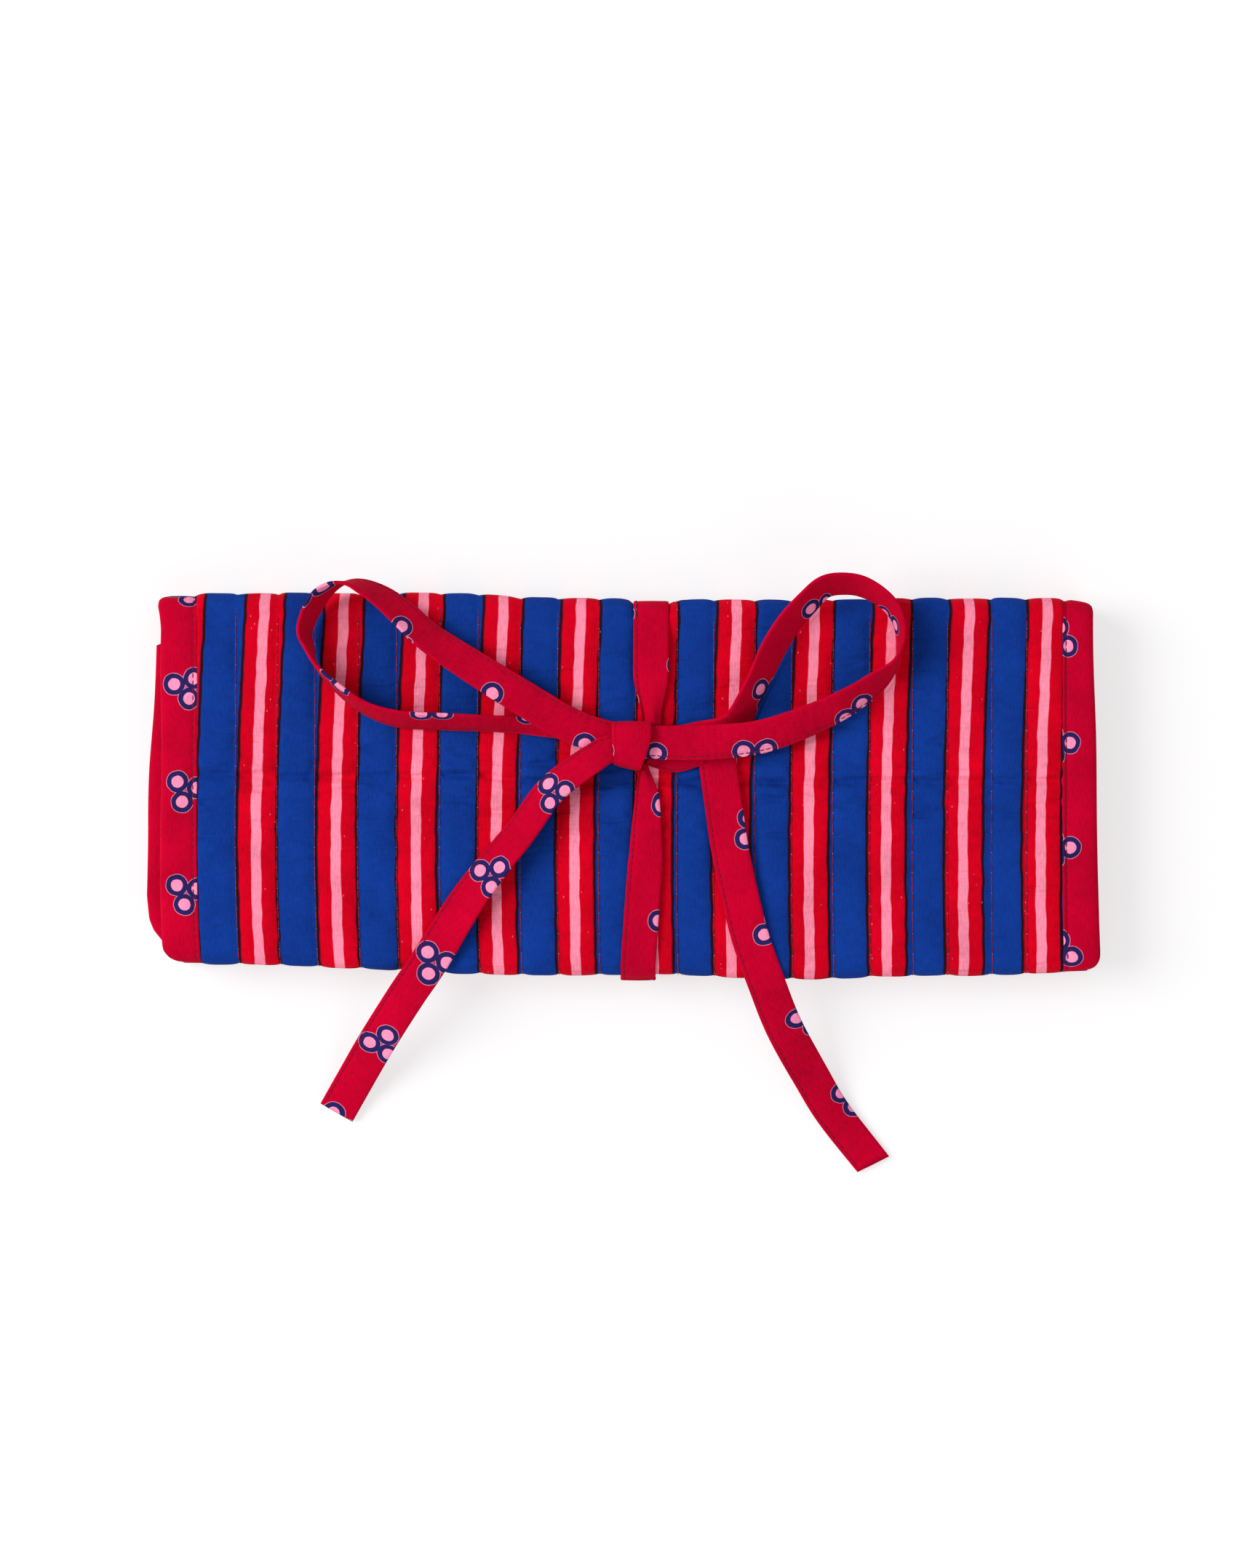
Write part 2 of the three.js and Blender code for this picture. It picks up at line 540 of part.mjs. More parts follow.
ribbon("tie_right_loop", [
  [knotRight + 0.6, 13.6, 6.2, 4],
  [11.4, 13.1, 6.6, 5],
  [24.9, 13.5, 6.9, 8],
  [38.4, 15.2, 6.6, 12],
  [53.0, 20.4, 6.2, 22],
  [65.2, 26.4, 6.0, 36],
  [72.7, 31.3, 6.0, 56],
  [77.6, 36.5, 6.1, 80],
  [79.8, 43.5, 6.2, 98],
  [79.4, 49.8, 6.2, 106],
  [76.6, 55.1, 6.1, 114],
  [70.8, 59.0, 6.0, 124],
  [65.2, 60.1, 5.9, 128],
  [57.3, 59.0, 5.8, 128],
  [51.5, 53.8, 5.7, 130],
  [46.1, 47.6, 5.6, 132],
  [41.4, 39.7, 5.4, 134],
  [34.3, 27.9, 5.0, 138],
  [27.5, 19.6, 3.2, 160],
  [15.9, 17.2, 2.9, 176],
  [knotRight + 0.6, 16.4, 2.8, 179],
], TAPE_WIDTH);
ribbon("tie_left_tail", [
  [knotLeft - 1, 11.4, 8.4, 6],
  [-10.8, 9.7, 8.3, 8],
  [-16.3, 6.6, 7.0, 10],
  [-21.7, 2.4, 4.2, 8],
  [-26.2, -3.0, 2.6, 5],
  [-33.2, -12.9, 1.4, 2],
  [-42.0, -23.8, 1.1, 0],
  [-49.5, -34.7, 1.1, 0],
  [-59.8, -52.1, 1.1, 0],
  [-66.1, -61.6, -1.2, 0],
  [-74.9, -75.9, -9.0, 0],
  [-82.4, -89.0, -16.2, 0],
  [-86.2, -95.7, -18.8, 0],
], TAPE_WIDTH);
ribbon("tie_right_tail", [
  [25.2, 11.2, 1.6, 0],
  [25.7, 6.2, 1.3, 0],
  [27.2, -4.7, 1.1, 0],
  [29.2, -18.4, 1.1, 0],
  [32.2, -32.4, 1.1, 0],
  [35.4, -45.0, 1.2, 0],
  [40.1, -58.1, -0.2, 0],
  [45.5, -71.4, -6.0, 0],
  [53.8, -86.4, -14.0, 0],
  [60.9, -97.8, -18.0, 0],
  [71.4, -111.1, -19.2, 0],
], TAPE_WIDTH);
ribbon("tie_tuck", [
  [knotRight, 8.6, 0.95, 0],
  [13, 8.2, 0.95, 0],
  [19.4, 8.6, 0.95, 0],
], TAPE_WIDTH * 0.6);

roll.position.x = PEEK / 2;
export default roll;
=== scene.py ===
# Quilted cotton jewelry roll, folded shut and tied with a tape bow, seen from straight above.
# Metres, +X along the roll, +Y towards the fold, +Z up. Sizes are in millimetres, the stage's in metres.
import math

import bpy
import numpy as np
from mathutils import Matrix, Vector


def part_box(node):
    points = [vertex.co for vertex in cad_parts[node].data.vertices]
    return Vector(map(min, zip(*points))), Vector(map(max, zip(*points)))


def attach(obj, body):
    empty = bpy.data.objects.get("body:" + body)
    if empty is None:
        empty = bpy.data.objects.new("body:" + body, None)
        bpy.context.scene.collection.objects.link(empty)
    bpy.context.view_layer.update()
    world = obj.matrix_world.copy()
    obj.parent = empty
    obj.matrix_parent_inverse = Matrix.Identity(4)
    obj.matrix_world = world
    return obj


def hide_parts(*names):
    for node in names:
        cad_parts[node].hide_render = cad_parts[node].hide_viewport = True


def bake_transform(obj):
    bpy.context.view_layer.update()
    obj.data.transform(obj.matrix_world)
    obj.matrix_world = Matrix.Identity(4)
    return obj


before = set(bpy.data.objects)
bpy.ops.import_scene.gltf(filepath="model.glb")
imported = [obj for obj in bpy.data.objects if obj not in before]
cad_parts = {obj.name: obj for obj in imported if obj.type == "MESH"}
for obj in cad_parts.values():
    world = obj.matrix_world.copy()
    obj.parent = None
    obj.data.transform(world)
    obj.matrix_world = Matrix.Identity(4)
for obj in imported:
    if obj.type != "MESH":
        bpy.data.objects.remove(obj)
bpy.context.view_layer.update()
MM = 0.001


# Table, light and camera
# A white paper sheet under a large soft lamp at the upper left, as for a catalogue picture.
# The camera hangs over the roll and looks straight down.
def rgb(code):
    """An sRGB hex colour as linear numbers."""
    parts = [int(code[i : i + 2], 16) / 255 for i in (1, 3, 5)]
    return [p / 12.92 if p <= 0.04045 else ((p + 0.055) / 1.055) ** 2.4 for p in parts] + [1]


def add(tree, kind, links=None, **settings):
    """One node with its settings; links maps an input to a value or to another node's output."""
    made = tree.nodes.new(kind)
    for name, value in settings.items():
        setattr(made, name, value)
    for key, value in (links or {}).items():
        if isinstance(value, bpy.types.NodeSocket):
            tree.links.new(value, made.inputs[key])
        else:
            made.inputs[key].default_value = value
    return made


def material(name):
    """A new material and its empty node tree."""
    made = bpy.data.materials.new(name)
    made.use_nodes = True
    made.node_tree.nodes.clear()
    return made, made.node_tree


def seen_directly(tree):
    """One for what the camera sees, also mirrored in metal or through glass, and zero for bounced light."""
    ray = add(tree, "ShaderNodeLightPath").outputs
    mirrored = add(
        tree, "ShaderNodeMath", {0: ray["Is Glossy Ray"], 1: ray["Is Transmission Ray"]}, operation="MAXIMUM"
    )
    seen = add(tree, "ShaderNodeMath", {0: ray["Is Camera Ray"], 1: mirrored.outputs[0]}, operation="MAXIMUM")
    return seen.outputs[0]


scene = bpy.context.scene
scene.view_settings.view_transform = "Standard"

# White paper: matt and even. The eye sees it as white with a soft grey shadow beside the roll.
PAPER_GLOW = 0.63
PAPER_SIZE = 12
PAPER_LEVEL = -0.0002
paper, tree = material("white_paper_sheet")
bounce = add(tree, "ShaderNodeBsdfDiffuse", {"Color": rgb("#F4F3F3")})
white = add(tree, "ShaderNodeEmission", {"Color": rgb("#FFFFFF"), "Strength": PAPER_GLOW})
shaded = add(tree, "ShaderNodeBsdfDiffuse", {"Color": rgb("#A9A7A8")})
bright = add(tree, "ShaderNodeAddShader", {0: white.outputs[0], 1: shaded.outputs[0]})
face = add(tree, "ShaderNodeMixShader", {0: seen_directly(tree), 1: bounce.outputs[0], 2: bright.outputs[0]})
add(tree, "ShaderNodeOutputMaterial", {"Surface": face.outputs[0]})
bpy.ops.mesh.primitive_plane_add(size=PAPER_SIZE, location=(0, 0, PAPER_LEVEL))
table = bpy.context.object
table.name = "table"
table.data.materials.append(paper)

SOFT_LIGHT = 0.45
WHITE_WALL = 1.0
world = bpy.data.worlds.new("studio")
world.use_nodes = True
scene.world = world
tree = world.node_tree
tree.nodes.clear()
soft_light = add(tree, "ShaderNodeBackground", {"Color": rgb("#FFFFFF"), "Strength": SOFT_LIGHT})
white_wall = add(tree, "ShaderNodeBackground", {"Color": rgb("#FFFFFF"), "Strength": WHITE_WALL})
around = add(
    tree, "ShaderNodeMixShader", {0: seen_directly(tree), 1: soft_light.outputs[0], 2: white_wall.outputs[0]}
)
add(tree, "ShaderNodeOutputWorld", {"Surface": around.outputs[0]})


def lamp(name, watts, size, place):
    """A round soft lamp that points at the middle of the table."""
    data = bpy.data.lights.new(name, "AREA")
    data.energy = watts
    data.shape = "DISK"
    data.size = size
    made = bpy.data.objects.new(name, data)
    scene.collection.objects.link(made)
    made.location = place
    x, y, z = place
    made.rotation_euler = (math.atan2(math.hypot(x, y), z), 0, math.atan2(-y, -x) - math.pi / 2)


lamp("window_lamp", watts=70, size=2.0, place=(-2.15, 0.45, 2.0))
lamp("fill_lamp", watts=16, size=2.4, place=(1.2, -2.0, 2.2))

CAMERA_X = 0.00133
CAMERA_Y = 0.00086
CAMERA_HEIGHT = 1.25
FRAME_HEIGHT = 0.4625
FRONT_LEVEL = 0.020
SENSOR = 36
VIEW_DEPTH = 20
camera_data = bpy.data.cameras.new("camera")
camera_data.sensor_width = SENSOR
camera_data.lens = SENSOR * (CAMERA_HEIGHT - FRONT_LEVEL) / FRAME_HEIGHT
camera_data.clip_end = VIEW_DEPTH
camera = bpy.data.objects.new("camera", camera_data)
camera.location = (CAMERA_X, CAMERA_Y, CAMERA_HEIGHT)
scene.collection.objects.link(camera)
scene.camera = camera


# Quilted sheet
# Striped cotton over thin wadding and a plain cotton lining, sewn through in straight rows.
# One length of it makes the back, the fold, the front, the hem and the turned-up slip pocket.
CHANNELS = 22
CHANNEL = 11.5
HALF_QUILT = CHANNELS * CHANNEL / 2
BORDER = 11.5
HALF_WIDTH = HALF_QUILT + BORDER
HALF_HEIGHT = 56.0
ASKEW = 2.3
FOLD_RADIUS = 6.0
QUILT = 4.4
THICKNESS = 20.15
SLIP_LEVEL = 10.55
HEM_RADIUS = (THICKNESS - SLIP_LEVEL) / 2
FOLD_CENTRE = HALF_HEIGHT - FOLD_RADIUS
HEM_CENTRE = HEM_RADIUS - HALF_HEIGHT
SLIP_MOUTH = -4.0
SLIP_THINNESS = 3.0 / QUILT
STITCH_DIP = 0.85
PILLOW = 3.6
TIE_X = 5.75
HEM_X = 1.7
MIDDLE_CREASE = 1.6

ARC = FOLD_RADIUS * math.pi / 2
BACK_END = HALF_HEIGHT + FOLD_CENTRE
SPINE_START = BACK_END + ARC
SPINE_END = SPINE_START + THICKNESS - 2 * FOLD_RADIUS
FRONT_START = SPINE_END + ARC
FRONT_END = FRONT_START + FOLD_CENTRE - HEM_CENTRE
HEM_END = FRONT_END + HEM_RADIUS * math.pi
SLIP_END = HEM_END + SLIP_MOUTH - HEM_CENTRE
SPINE_MIDDLE = (SPINE_START + SPINE_END) / 2
CREASE_S = FRONT_START + FOLD_CENTRE - MIDDLE_CREASE


def along_sheet(s):
    """Outer face and inward direction of the folded sheet, s millimetres from the back's free edge."""
    y = np.empty_like(s)
    z = np.empty_like(s)
    turn = np.empty_like(s)
    legs = [
        (0, BACK_END, -HALF_HEIGHT, 0, -90, None),
        (BACK_END, SPINE_START, FOLD_CENTRE, FOLD_RADIUS, -90, FOLD_RADIUS),
        (SPINE_START, SPINE_END, HALF_HEIGHT, FOLD_RADIUS, 0, None),
        (SPINE_END, FRONT_START, FOLD_CENTRE, THICKNESS - FOLD_RADIUS, 0, FOLD_RADIUS),
        (FRONT_START, FRONT_END, FOLD_CENTRE, THICKNESS, 90, None),
        (FRONT_END, HEM_END, HEM_CENTRE, THICKNESS - HEM_RADIUS, 90, HEM_RADIUS),
        (HEM_END, SLIP_END + 1, HEM_CENTRE, SLIP_LEVEL, 270, None),
    ]
    for start, end, y0, z0, angle, radius in legs:
        here = (s >= start) & (s <= end + 1e-9)
        run = s[here] - start
        heading = math.radians(angle) + (run / radius if radius else 0 * run)
        y[here] = y0 + (radius * np.cos(heading) if radius else -run * np.sin(heading))
        z[here] = z0 + (radius * np.sin(heading) if radius else run * np.cos(heading))
        turn[here] = heading
    return y, z, -np.cos(turn), -np.sin(turn)


def in_sheet(x, s, depth):
    """Points x across the sheet, s along it and depth in from its outer face."""
    y, z, in_y, in_z = along_sheet(s)
    return np.stack(np.broadcast_arrays(x, y + in_y * depth, z + in_z * depth), axis=-1)


def outward_at(s):
    """The outer face's direction at places along the sheet."""
    in_y, in_z = along_sheet(s)[2:]
    return np.stack([0 * s, -in_y, -in_z], axis=1)


def smooth(t):
    """An even rise from nothing at zero to all at one."""
    t = np.clip(t, 0, 1)
    return t * t * (3 - 2 * t)


# How far the hem and the fold stand from straight, how far the ends lean, and where across the roll
HEM_PLACES = [-134, -112, -80, -52, -30, -10, 15, 30, 55, 75, 100, 135]
HEM_BOW = [3.4, 3.4, 2.1, 0.7, 0.1, 0.2, 0.2, -0.6, -1.2, -0.2, 0.0, 1.0]
FOLD_PLACES = [-138, -48, -34, 45, 85, 138]
FOLD_BOW = [1.4, 1.5, 0.2, -0.6, 0.0, -0.1]
LEAN_HIGH_PLACES = [-HALF_WIDTH, 0, HALF_QUILT, HALF_WIDTH]
LEAN_HIGH = [0.2, 0.3, 0.2, -1.6]
LEAN_LOW_PLACES = [-HALF_WIDTH, -80, 0, HALF_QUILT, HALF_WIDTH]
LEAN_LOW = [1.2, 1.0, 0.5, 0.4, 0.9]
LEAN_LOW_SHARE = 0.3


def settle(points):
    """Lets a soft piece lie as the real one does: the hem and the fold bow and the ends lean a little."""
    x = points[..., 0]
    y = points[..., 1]
    height = np.clip((y + HALF_HEIGHT) / (2 * HALF_HEIGHT), 0, 1)
    low = np.interp(x, HEM_PLACES, HEM_BOW)
    high = np.interp(x, FOLD_PLACES, FOLD_BOW)
    lean_high = np.interp(x, LEAN_HIGH_PLACES, LEAN_HIGH)
    lean_low = np.interp(x, LEAN_LOW_PLACES, LEAN_LOW)
    near_hem = np.clip(1 - height / LEAN_LOW_SHARE, 0, 1) ** 1.5
    moved = points.copy()
    moved[..., 0] = x + lean_high * height**2 + lean_low * near_hem + ASKEW
    moved[..., 1] = y + low * (1 - height) ** 1.5 + high * height
    return moved


def uneven(a, b, seed, size):
    """Smooth unevenness of about plus or minus one, about size millimetres across, from crossed waves."""
    total = np.zeros(np.broadcast(a, b).shape)
    for wave in range(5):
        key = seed * 7.31 + wave * 2.17
        crossing = a * math.sin(key * 1.3) + b * math.cos(key * 0.7)
        total = total + np.sin(crossing * 6 / size + key * 5.1)
    return total / 2.6


def object_from(name, points, faces, cloth, finishes=None):
    """A smooth mesh object in metres; its UV map is the place on the flat cloth, also in metres."""
    mesh = bpy.data.meshes.new(name)
    mesh.from_pydata((np.asarray(points) * MM).tolist(), [], faces)
    layer = mesh.uv_layers.new(name="cloth")
    corner = np.empty(len(mesh.loops), dtype=np.int32)
    mesh.loops.foreach_get("vertex_index", corner)
    layer.data.foreach_set("uv", (np.asarray(cloth, dtype=np.float32)[corner] * MM).ravel())
    if finishes is not None:
        mesh.polygons.foreach_set("material_index", np.asarray(finishes, dtype=np.int32))
    mesh.shade_smooth()
    made = bpy.data.objects.new(name, mesh)
    scene.collection.objects.link(made)
    return made


def shell(name, outer, inner, cloth_outer, cloth_inner):
    """A closed padded sheet from an outer and an inner grid with the same rows and columns."""
    rows, columns = outer.shape[:2]
    size = rows * columns
    points = np.concatenate([outer.reshape(-1, 3), inner.reshape(-1, 3)])
    cloth = np.concatenate([cloth_outer.reshape(-1, 2), cloth_inner.reshape(-1, 2)])
    corner = (np.arange(rows - 1)[:, None] * columns + np.arange(columns - 1)[None, :]).ravel()
    front = np.stack([corner, corner + columns, corner + columns + 1, corner + 1], axis=1)
    back = size + front[:, ::-1]
    rim = [r * columns for r in range(rows)]
    rim += [(rows - 1) * columns + c for c in range(1, columns)]
    rim += [r * columns + columns - 1 for r in range(rows - 2, -1, -1)]
    rim += list(range(columns - 2, 0, -1))
    edge = [(a, a + size, b + size, b) for a, b in zip(rim, rim[1:] + rim[:1])]
    faces = front.tolist() + back.tolist() + edge
    finishes = [0] * len(front) + [1] * (len(back) + len(edge))
    return object_from(name, points, faces, cloth, finishes)


def slip_thinning(s):
    """The share of its thickness that the sheet keeps: less in the hem and the slip pocket."""
    return 1 - (1 - SLIP_THINNESS) * smooth((s - (FRONT_END - 2 * HEM_RADIUS)) / (2 * HEM_RADIUS))


SPACING_PLACES = [-110, -64, -40, 60, 98]
SPACING = [-1.1, 0, 0.75, 0.85, 0.35]
STRIPE_LEAN = [2.5, 1.6, 1.9]
LEAN_REACH = 0.62 * (FRONT_END - FRONT_START)


def stripe_spacing(x):
    """How far each stripe stands from even spacing."""
    return np.interp(x, SPACING_PLACES, SPACING)


def stripe_lean(x, s):
    """The stripes were cut slightly off straight, which shows towards the fold."""
    most = np.interp(x, [-HALF_WIDTH, 0, HALF_WIDTH], STRIPE_LEAN)
    front = np.clip(1 - (s - FRONT_START) / LEAN_REACH, 0, 1) ** 1.5
    back = np.clip((s - 20) / 80, 0, 1)
    return stripe_spacing(x) + most * np.where(s > FRONT_START, front, back)


FIRST_STRIPE = 12.1
EDGE_LEFT = 1.9
EDGE_RIGHT = 1.2
ROW_X = np.arange(CHANNELS + 1) * CHANNEL - HALF_QUILT
BEFORE_RED = np.arange(CHANNELS + 1) % 2 == 1
# How far the stitch rows stand from the printed edges, before and after a red stripe
BEFORE_PLACES = [-90, -70, -45, -22, 50, 94, 118]
BEFORE_OFFSETS = [-0.6, -0.1, 0.2, 0.5, 0.5, 0.9, 1.4]
AFTER_PLACES = [-104, -80, -57, 0, 60, 83, 107]
AFTER_OFFSETS = [0, 0.25, 0.85, 1.2, 1.2, 2.0, 2.6]


def stitch_rows(s):
    """Places of the stitch rows across the sheet, one line of places for each s."""
    before = np.interp(ROW_X, BEFORE_PLACES, BEFORE_OFFSETS)
    after = np.interp(ROW_X, AFTER_PLACES, AFTER_OFFSETS)
    straight = ROW_X + HALF_QUILT + stripe_spacing(ROW_X) + np.where(BEFORE_RED, before, after)
    places = np.tile(straight, (len(s), 1))
    places[:, 0] = -EDGE_LEFT
    places[:, -1] = CHANNELS * CHANNEL + EDGE_RIGHT
    return places


FINE_STEP = 0.55
CHANNEL_STEPS = 10
# Depths of what the sewing, the folding and the tight tape leave in the cover
PUCKER = 0.2
RIPPLE = 0.2
CREASE = 1.7
CREASE_REACH = 26
WRINKLE = 0.9
TAPE_DENT = 0.45
TAPE_DENT_ON_FOLD = 2.4
TAPE_DENT_UNDER = 1.6
HIGHEST_PUFF = 0.35
LINING_DIP = 0.3


def quilted(name, s_from, s_to, on_table):
    """A stretch of the sheet with a pillow between every two stitch rows, creased across the middle."""
    s = np.arange(s_from, s_to, FINE_STEP)
    in_y, in_z = along_sheet(s)[2:]
    bending = np.abs(np.gradient(in_y)) + np.abs(np.gradient(in_z)) > 1e-6
    third = np.arange(len(s)) % 3 == 0
    creased = np.abs(s - CREASE_S) < CREASE_REACH
    s = np.append(s[bending | third | creased], s_to)
    rows = stitch_rows(s)
    column = np.arange(CHANNELS * CHANNEL_STEPS + 1)
    channel = np.minimum(column // CHANNEL_STEPS, CHANNELS - 1)
    part = (column - channel * CHANNEL_STEPS) / CHANNEL_STEPS
    grid_u = rows[:, channel] * (1 - part) + rows[:, channel + 1] * part
    grid_s = np.broadcast_to(s[:, None], grid_u.shape)
    across = np.broadcast_to(np.abs(2 * part - 1), grid_u.shape)
    thin = slip_thinning(grid_s)
    pucker = uneven(grid_u * 0.35 + channel * 31, grid_s, 3.0, 8.0) * across**2 * (1 - across**8)
    ripple = uneven(grid_u + channel * 17, grid_s, 8.0, 24.0) * (1 - across**4)
    on_fold = smooth((grid_s - BACK_END) / 6) * smooth((FRONT_START + 4 - grid_s) / 8)
    depth = STITCH_DIP * (1 - 0.45 * on_fold) * across**PILLOW + PUCKER * pucker + RIPPLE * ripple
    crease_at = CREASE_S + 0.6 * uneven(grid_u * 0.8 + channel * 4.0, 0 * grid_s, 5.0, 34.0)
    below_crease = grid_s - crease_at
    crease = np.exp(-((below_crease / 1.2) ** 2)) - 0.35 * np.exp(-(((below_crease + 2.4) / 1.6) ** 2))
    crease = crease * (0.8 + 0.2 * np.sin(channel * 2.4))
    wrinkle = np.maximum(uneven(grid_u * 0.4 + channel * 13.0, grid_s, 11.0, 4.5) - 0.35, 0)
    near_crease = 0.1 + np.exp(-(((below_crease - 2) / 18) ** 2))
    depth = depth + (CREASE * crease + WRINKLE * near_crease * wrinkle) * (1 - across**6)
    tape_x = TIE_X + (HEM_X - TIE_X) * np.clip(1 - grid_s / BACK_END, 0, 1)
    by_tape = np.abs(grid_u - HALF_QUILT - tape_x)
    if on_table:
        flat = smooth((BACK_END - grid_s) / 4)
        pressed = STITCH_DIP * across**9 + TAPE_DENT_UNDER * np.exp(-((by_tape / 5.6) ** 4))
        depth = depth * (1 - flat) + flat * pressed
    else:
        depth = depth + TAPE_DENT * np.exp(-((by_tape / 8) ** 2)) * (grid_s < HEM_END)
    depth = depth + TAPE_DENT_ON_FOLD * on_fold * np.exp(-((by_tape / 5.8) ** 4))
    depth = np.maximum(depth, 0 if on_table else -HIGHEST_PUFF) * thin
    inside = (QUILT - LINING_DIP + LINING_DIP * across**3) * thin
    outer = in_sheet(grid_u - HALF_QUILT, s[:, None], depth)
    inner = in_sheet(grid_u - HALF_QUILT, s[:, None], inside)
    straight_u = grid_u - stripe_lean(grid_u - HALF_QUILT, grid_s)
    widened = CHANNEL - (CHANNEL - straight_u) * CHANNEL / FIRST_STRIPE
    printed = np.stack([np.where(straight_u < CHANNEL, widened, straight_u), grid_s], axis=-1)
    plain = np.stack([grid_u, grid_s], axis=-1)
    return shell(name, settle(outer), settle(inner), printed, plain)


# Sizes as drawn and matched: the cloth's uneven threads, its worn patches and its soft creases
GRAIN_WIDTH = 0.4545
GRAIN_LENGTH = 2.381
WORN_PATCH = 16.67
CREASE_LENGTH = 12.5
CREASE_WIDTH = 3.846
CREASE_HEIGHT = 1.8
# Cotton threads typically lie about 0.25 mm apart, too fine to show, so they are drawn 0.8 mm apart
THREAD_SPACING = 0.8
THREAD_HEIGHT = 0.2
# At scale one a wave texture repeats at every twentieth of two pi
WAVE_SCALE = 2 * math.pi / 20


def woven(tree, flat_cloth, colour, creased):
    """Gives a cotton of that colour its thread grain, soft creases and matt face."""
    grain_scale = (1 / (GRAIN_WIDTH * MM), 1 / (GRAIN_LENGTH * MM), 1)
    crease_scale = (1 / (CREASE_LENGTH * MM), 1 / (CREASE_WIDTH * MM), 1)
    grain_map = add(tree, "ShaderNodeMapping", {"Vector": flat_cloth, "Scale": grain_scale})
    grain = add(tree, "ShaderNodeTexNoise", {"Vector": grain_map.outputs[0], "Scale": 1, "Detail": 3})
    worn = add(
        tree, "ShaderNodeTexNoise", {"Vector": flat_cloth, "Scale": 1 / (WORN_PATCH * MM), "Detail": 4}
    )
    both = add(tree, "ShaderNodeMath", {0: grain.outputs["Fac"], 1: worn.outputs["Fac"]}, operation="ADD")
    tone = add(
        tree,
        "ShaderNodeMapRange",
        {"Value": both.outputs[0], "From Min": 0.7, "From Max": 1.3, "To Min": 0.8, "To Max": 1.18},
    )
    toned = add(tree, "ShaderNodeVectorMath", {0: colour, "Scale": tone.outputs[0]}, operation="SCALE")
    crease_map = add(tree, "ShaderNodeMapping", {"Vector": flat_cloth, "Scale": crease_scale})
    creases = add(tree, "ShaderNodeTexNoise", {"Vector": crease_map.outputs[0], "Scale": 1, "Detail": 2})
    soft = add(
        tree,
        "ShaderNodeBump",
        {"Height": creases.outputs["Fac"], "Strength": creased, "Distance": CREASE_HEIGHT * MM},
    )
    threads = {"Vector": flat_cloth, "Scale": WAVE_SCALE / (THREAD_SPACING * MM), "Distortion": 1.2}
    warp = add(tree, "ShaderNodeTexWave", threads, bands_direction="X")
    weft = add(tree, "ShaderNodeTexWave", threads, bands_direction="Y")
    weave = add(tree, "ShaderNodeMath", {0: warp.outputs["Fac"], 1: weft.outputs["Fac"]}, operation="MAXIMUM")
    relief = add(
        tree,
        "ShaderNodeBump",
        {
            "Height": weave.outputs[0],
            "Strength": 0.22,
            "Distance": THREAD_HEIGHT * MM,
            "Normal": soft.outputs[0],
        },
    )
    cotton = add(
        tree,
        "ShaderNodeBsdfPrincipled",
        {
            "Base Color": toned.outputs[0],
            "Roughness": 0.88,
            "Specular IOR Level": 0.03,
            "Sheen Weight": 0.01,
            "Sheen Roughness": 0.5,
            "Normal": relief.outputs[0],
        },
    )
    add(tree, "ShaderNodeOutputMaterial", {"Surface": cotton.outputs[0]})


def set_stops(ramp, stops):
    """Gives a colour ramp its stops, each a place from zero to one and a hex colour."""
    for spot, colour in stops[1:-1]:
        ramp.elements.new(spot)
    for element, (spot, colour) in zip(ramp.elements, stops):
        element.position = spot
        element.color = rgb(colour)


# Striped cotton: plain-woven and screen-printed, so the pink stripe has slightly wobbly edges. The dark line
# at each red edge is a thin printed outline drawn wider with painted shade of the stitched ditch beside it.
# Pale fibre ends stand up here and there in the red.
STRIPE_WOBBLE = 0.9
WOBBLE_LENGTH = 7.143
FIBRE_SPACING = (2.632, 5.0)
BLUE = "#103890"
STRIPE_RED = "#D3001E"
STRIPE_PINK = "#FF8FAA"
# The dark line's colour: a printed outline, widened with painted shade of the stitched ditch along each red
# edge
EDGE_PRINT_AND_DITCH_SHADE = "#2A0F1C"
FIBRE_PALE = "#F4A8BC"
# Where each colour starts or ends, as a share of the stripes' repeat of two channels
STRIPES = [
    (0.000, EDGE_PRINT_AND_DITCH_SHADE),
    (0.013, EDGE_PRINT_AND_DITCH_SHADE),
    (0.022, BLUE),
    (0.470, BLUE),
    (0.480, EDGE_PRINT_AND_DITCH_SHADE),
    (0.506, EDGE_PRINT_AND_DITCH_SHADE),
    (0.528, STRIPE_RED),
    (0.674, STRIPE_RED),
    (0.682, STRIPE_PINK),
    (0.800, STRIPE_PINK),
    (0.808, STRIPE_RED),
    (0.967, STRIPE_RED),
    (0.986, EDGE_PRINT_AND_DITCH_SHADE),
]
RED_START = 0.53
striped_cotton, tree = material("striped_quilting_cotton")
flat_cloth = add(tree, "ShaderNodeUVMap", uv_map="cloth").outputs[0]
wobble = add(
    tree, "ShaderNodeTexNoise", {"Vector": flat_cloth, "Scale": 1 / (WOBBLE_LENGTH * MM), "Detail": 1}
)
centred = add(tree, "ShaderNodeMath", {0: wobble.outputs["Fac"], 1: 0.5}, operation="SUBTRACT")
place = add(tree, "ShaderNodeSeparateXYZ", {0: flat_cloth})
shifted = add(
    tree,
    "ShaderNodeMath",
    {0: centred.outputs[0], 1: STRIPE_WOBBLE * MM, 2: place.outputs["X"]},
    operation="MULTIPLY_ADD",
)
repeats = add(tree, "ShaderNodeMath", {0: shifted.outputs[0], 1: 2 * CHANNEL * MM}, operation="DIVIDE")
within = add(tree, "ShaderNodeMath", {0: repeats.outputs[0]}, operation="FRACT")
stripes = add(tree, "ShaderNodeValToRGB", {"Fac": within.outputs[0]})
set_stops(stripes.color_ramp, STRIPES)
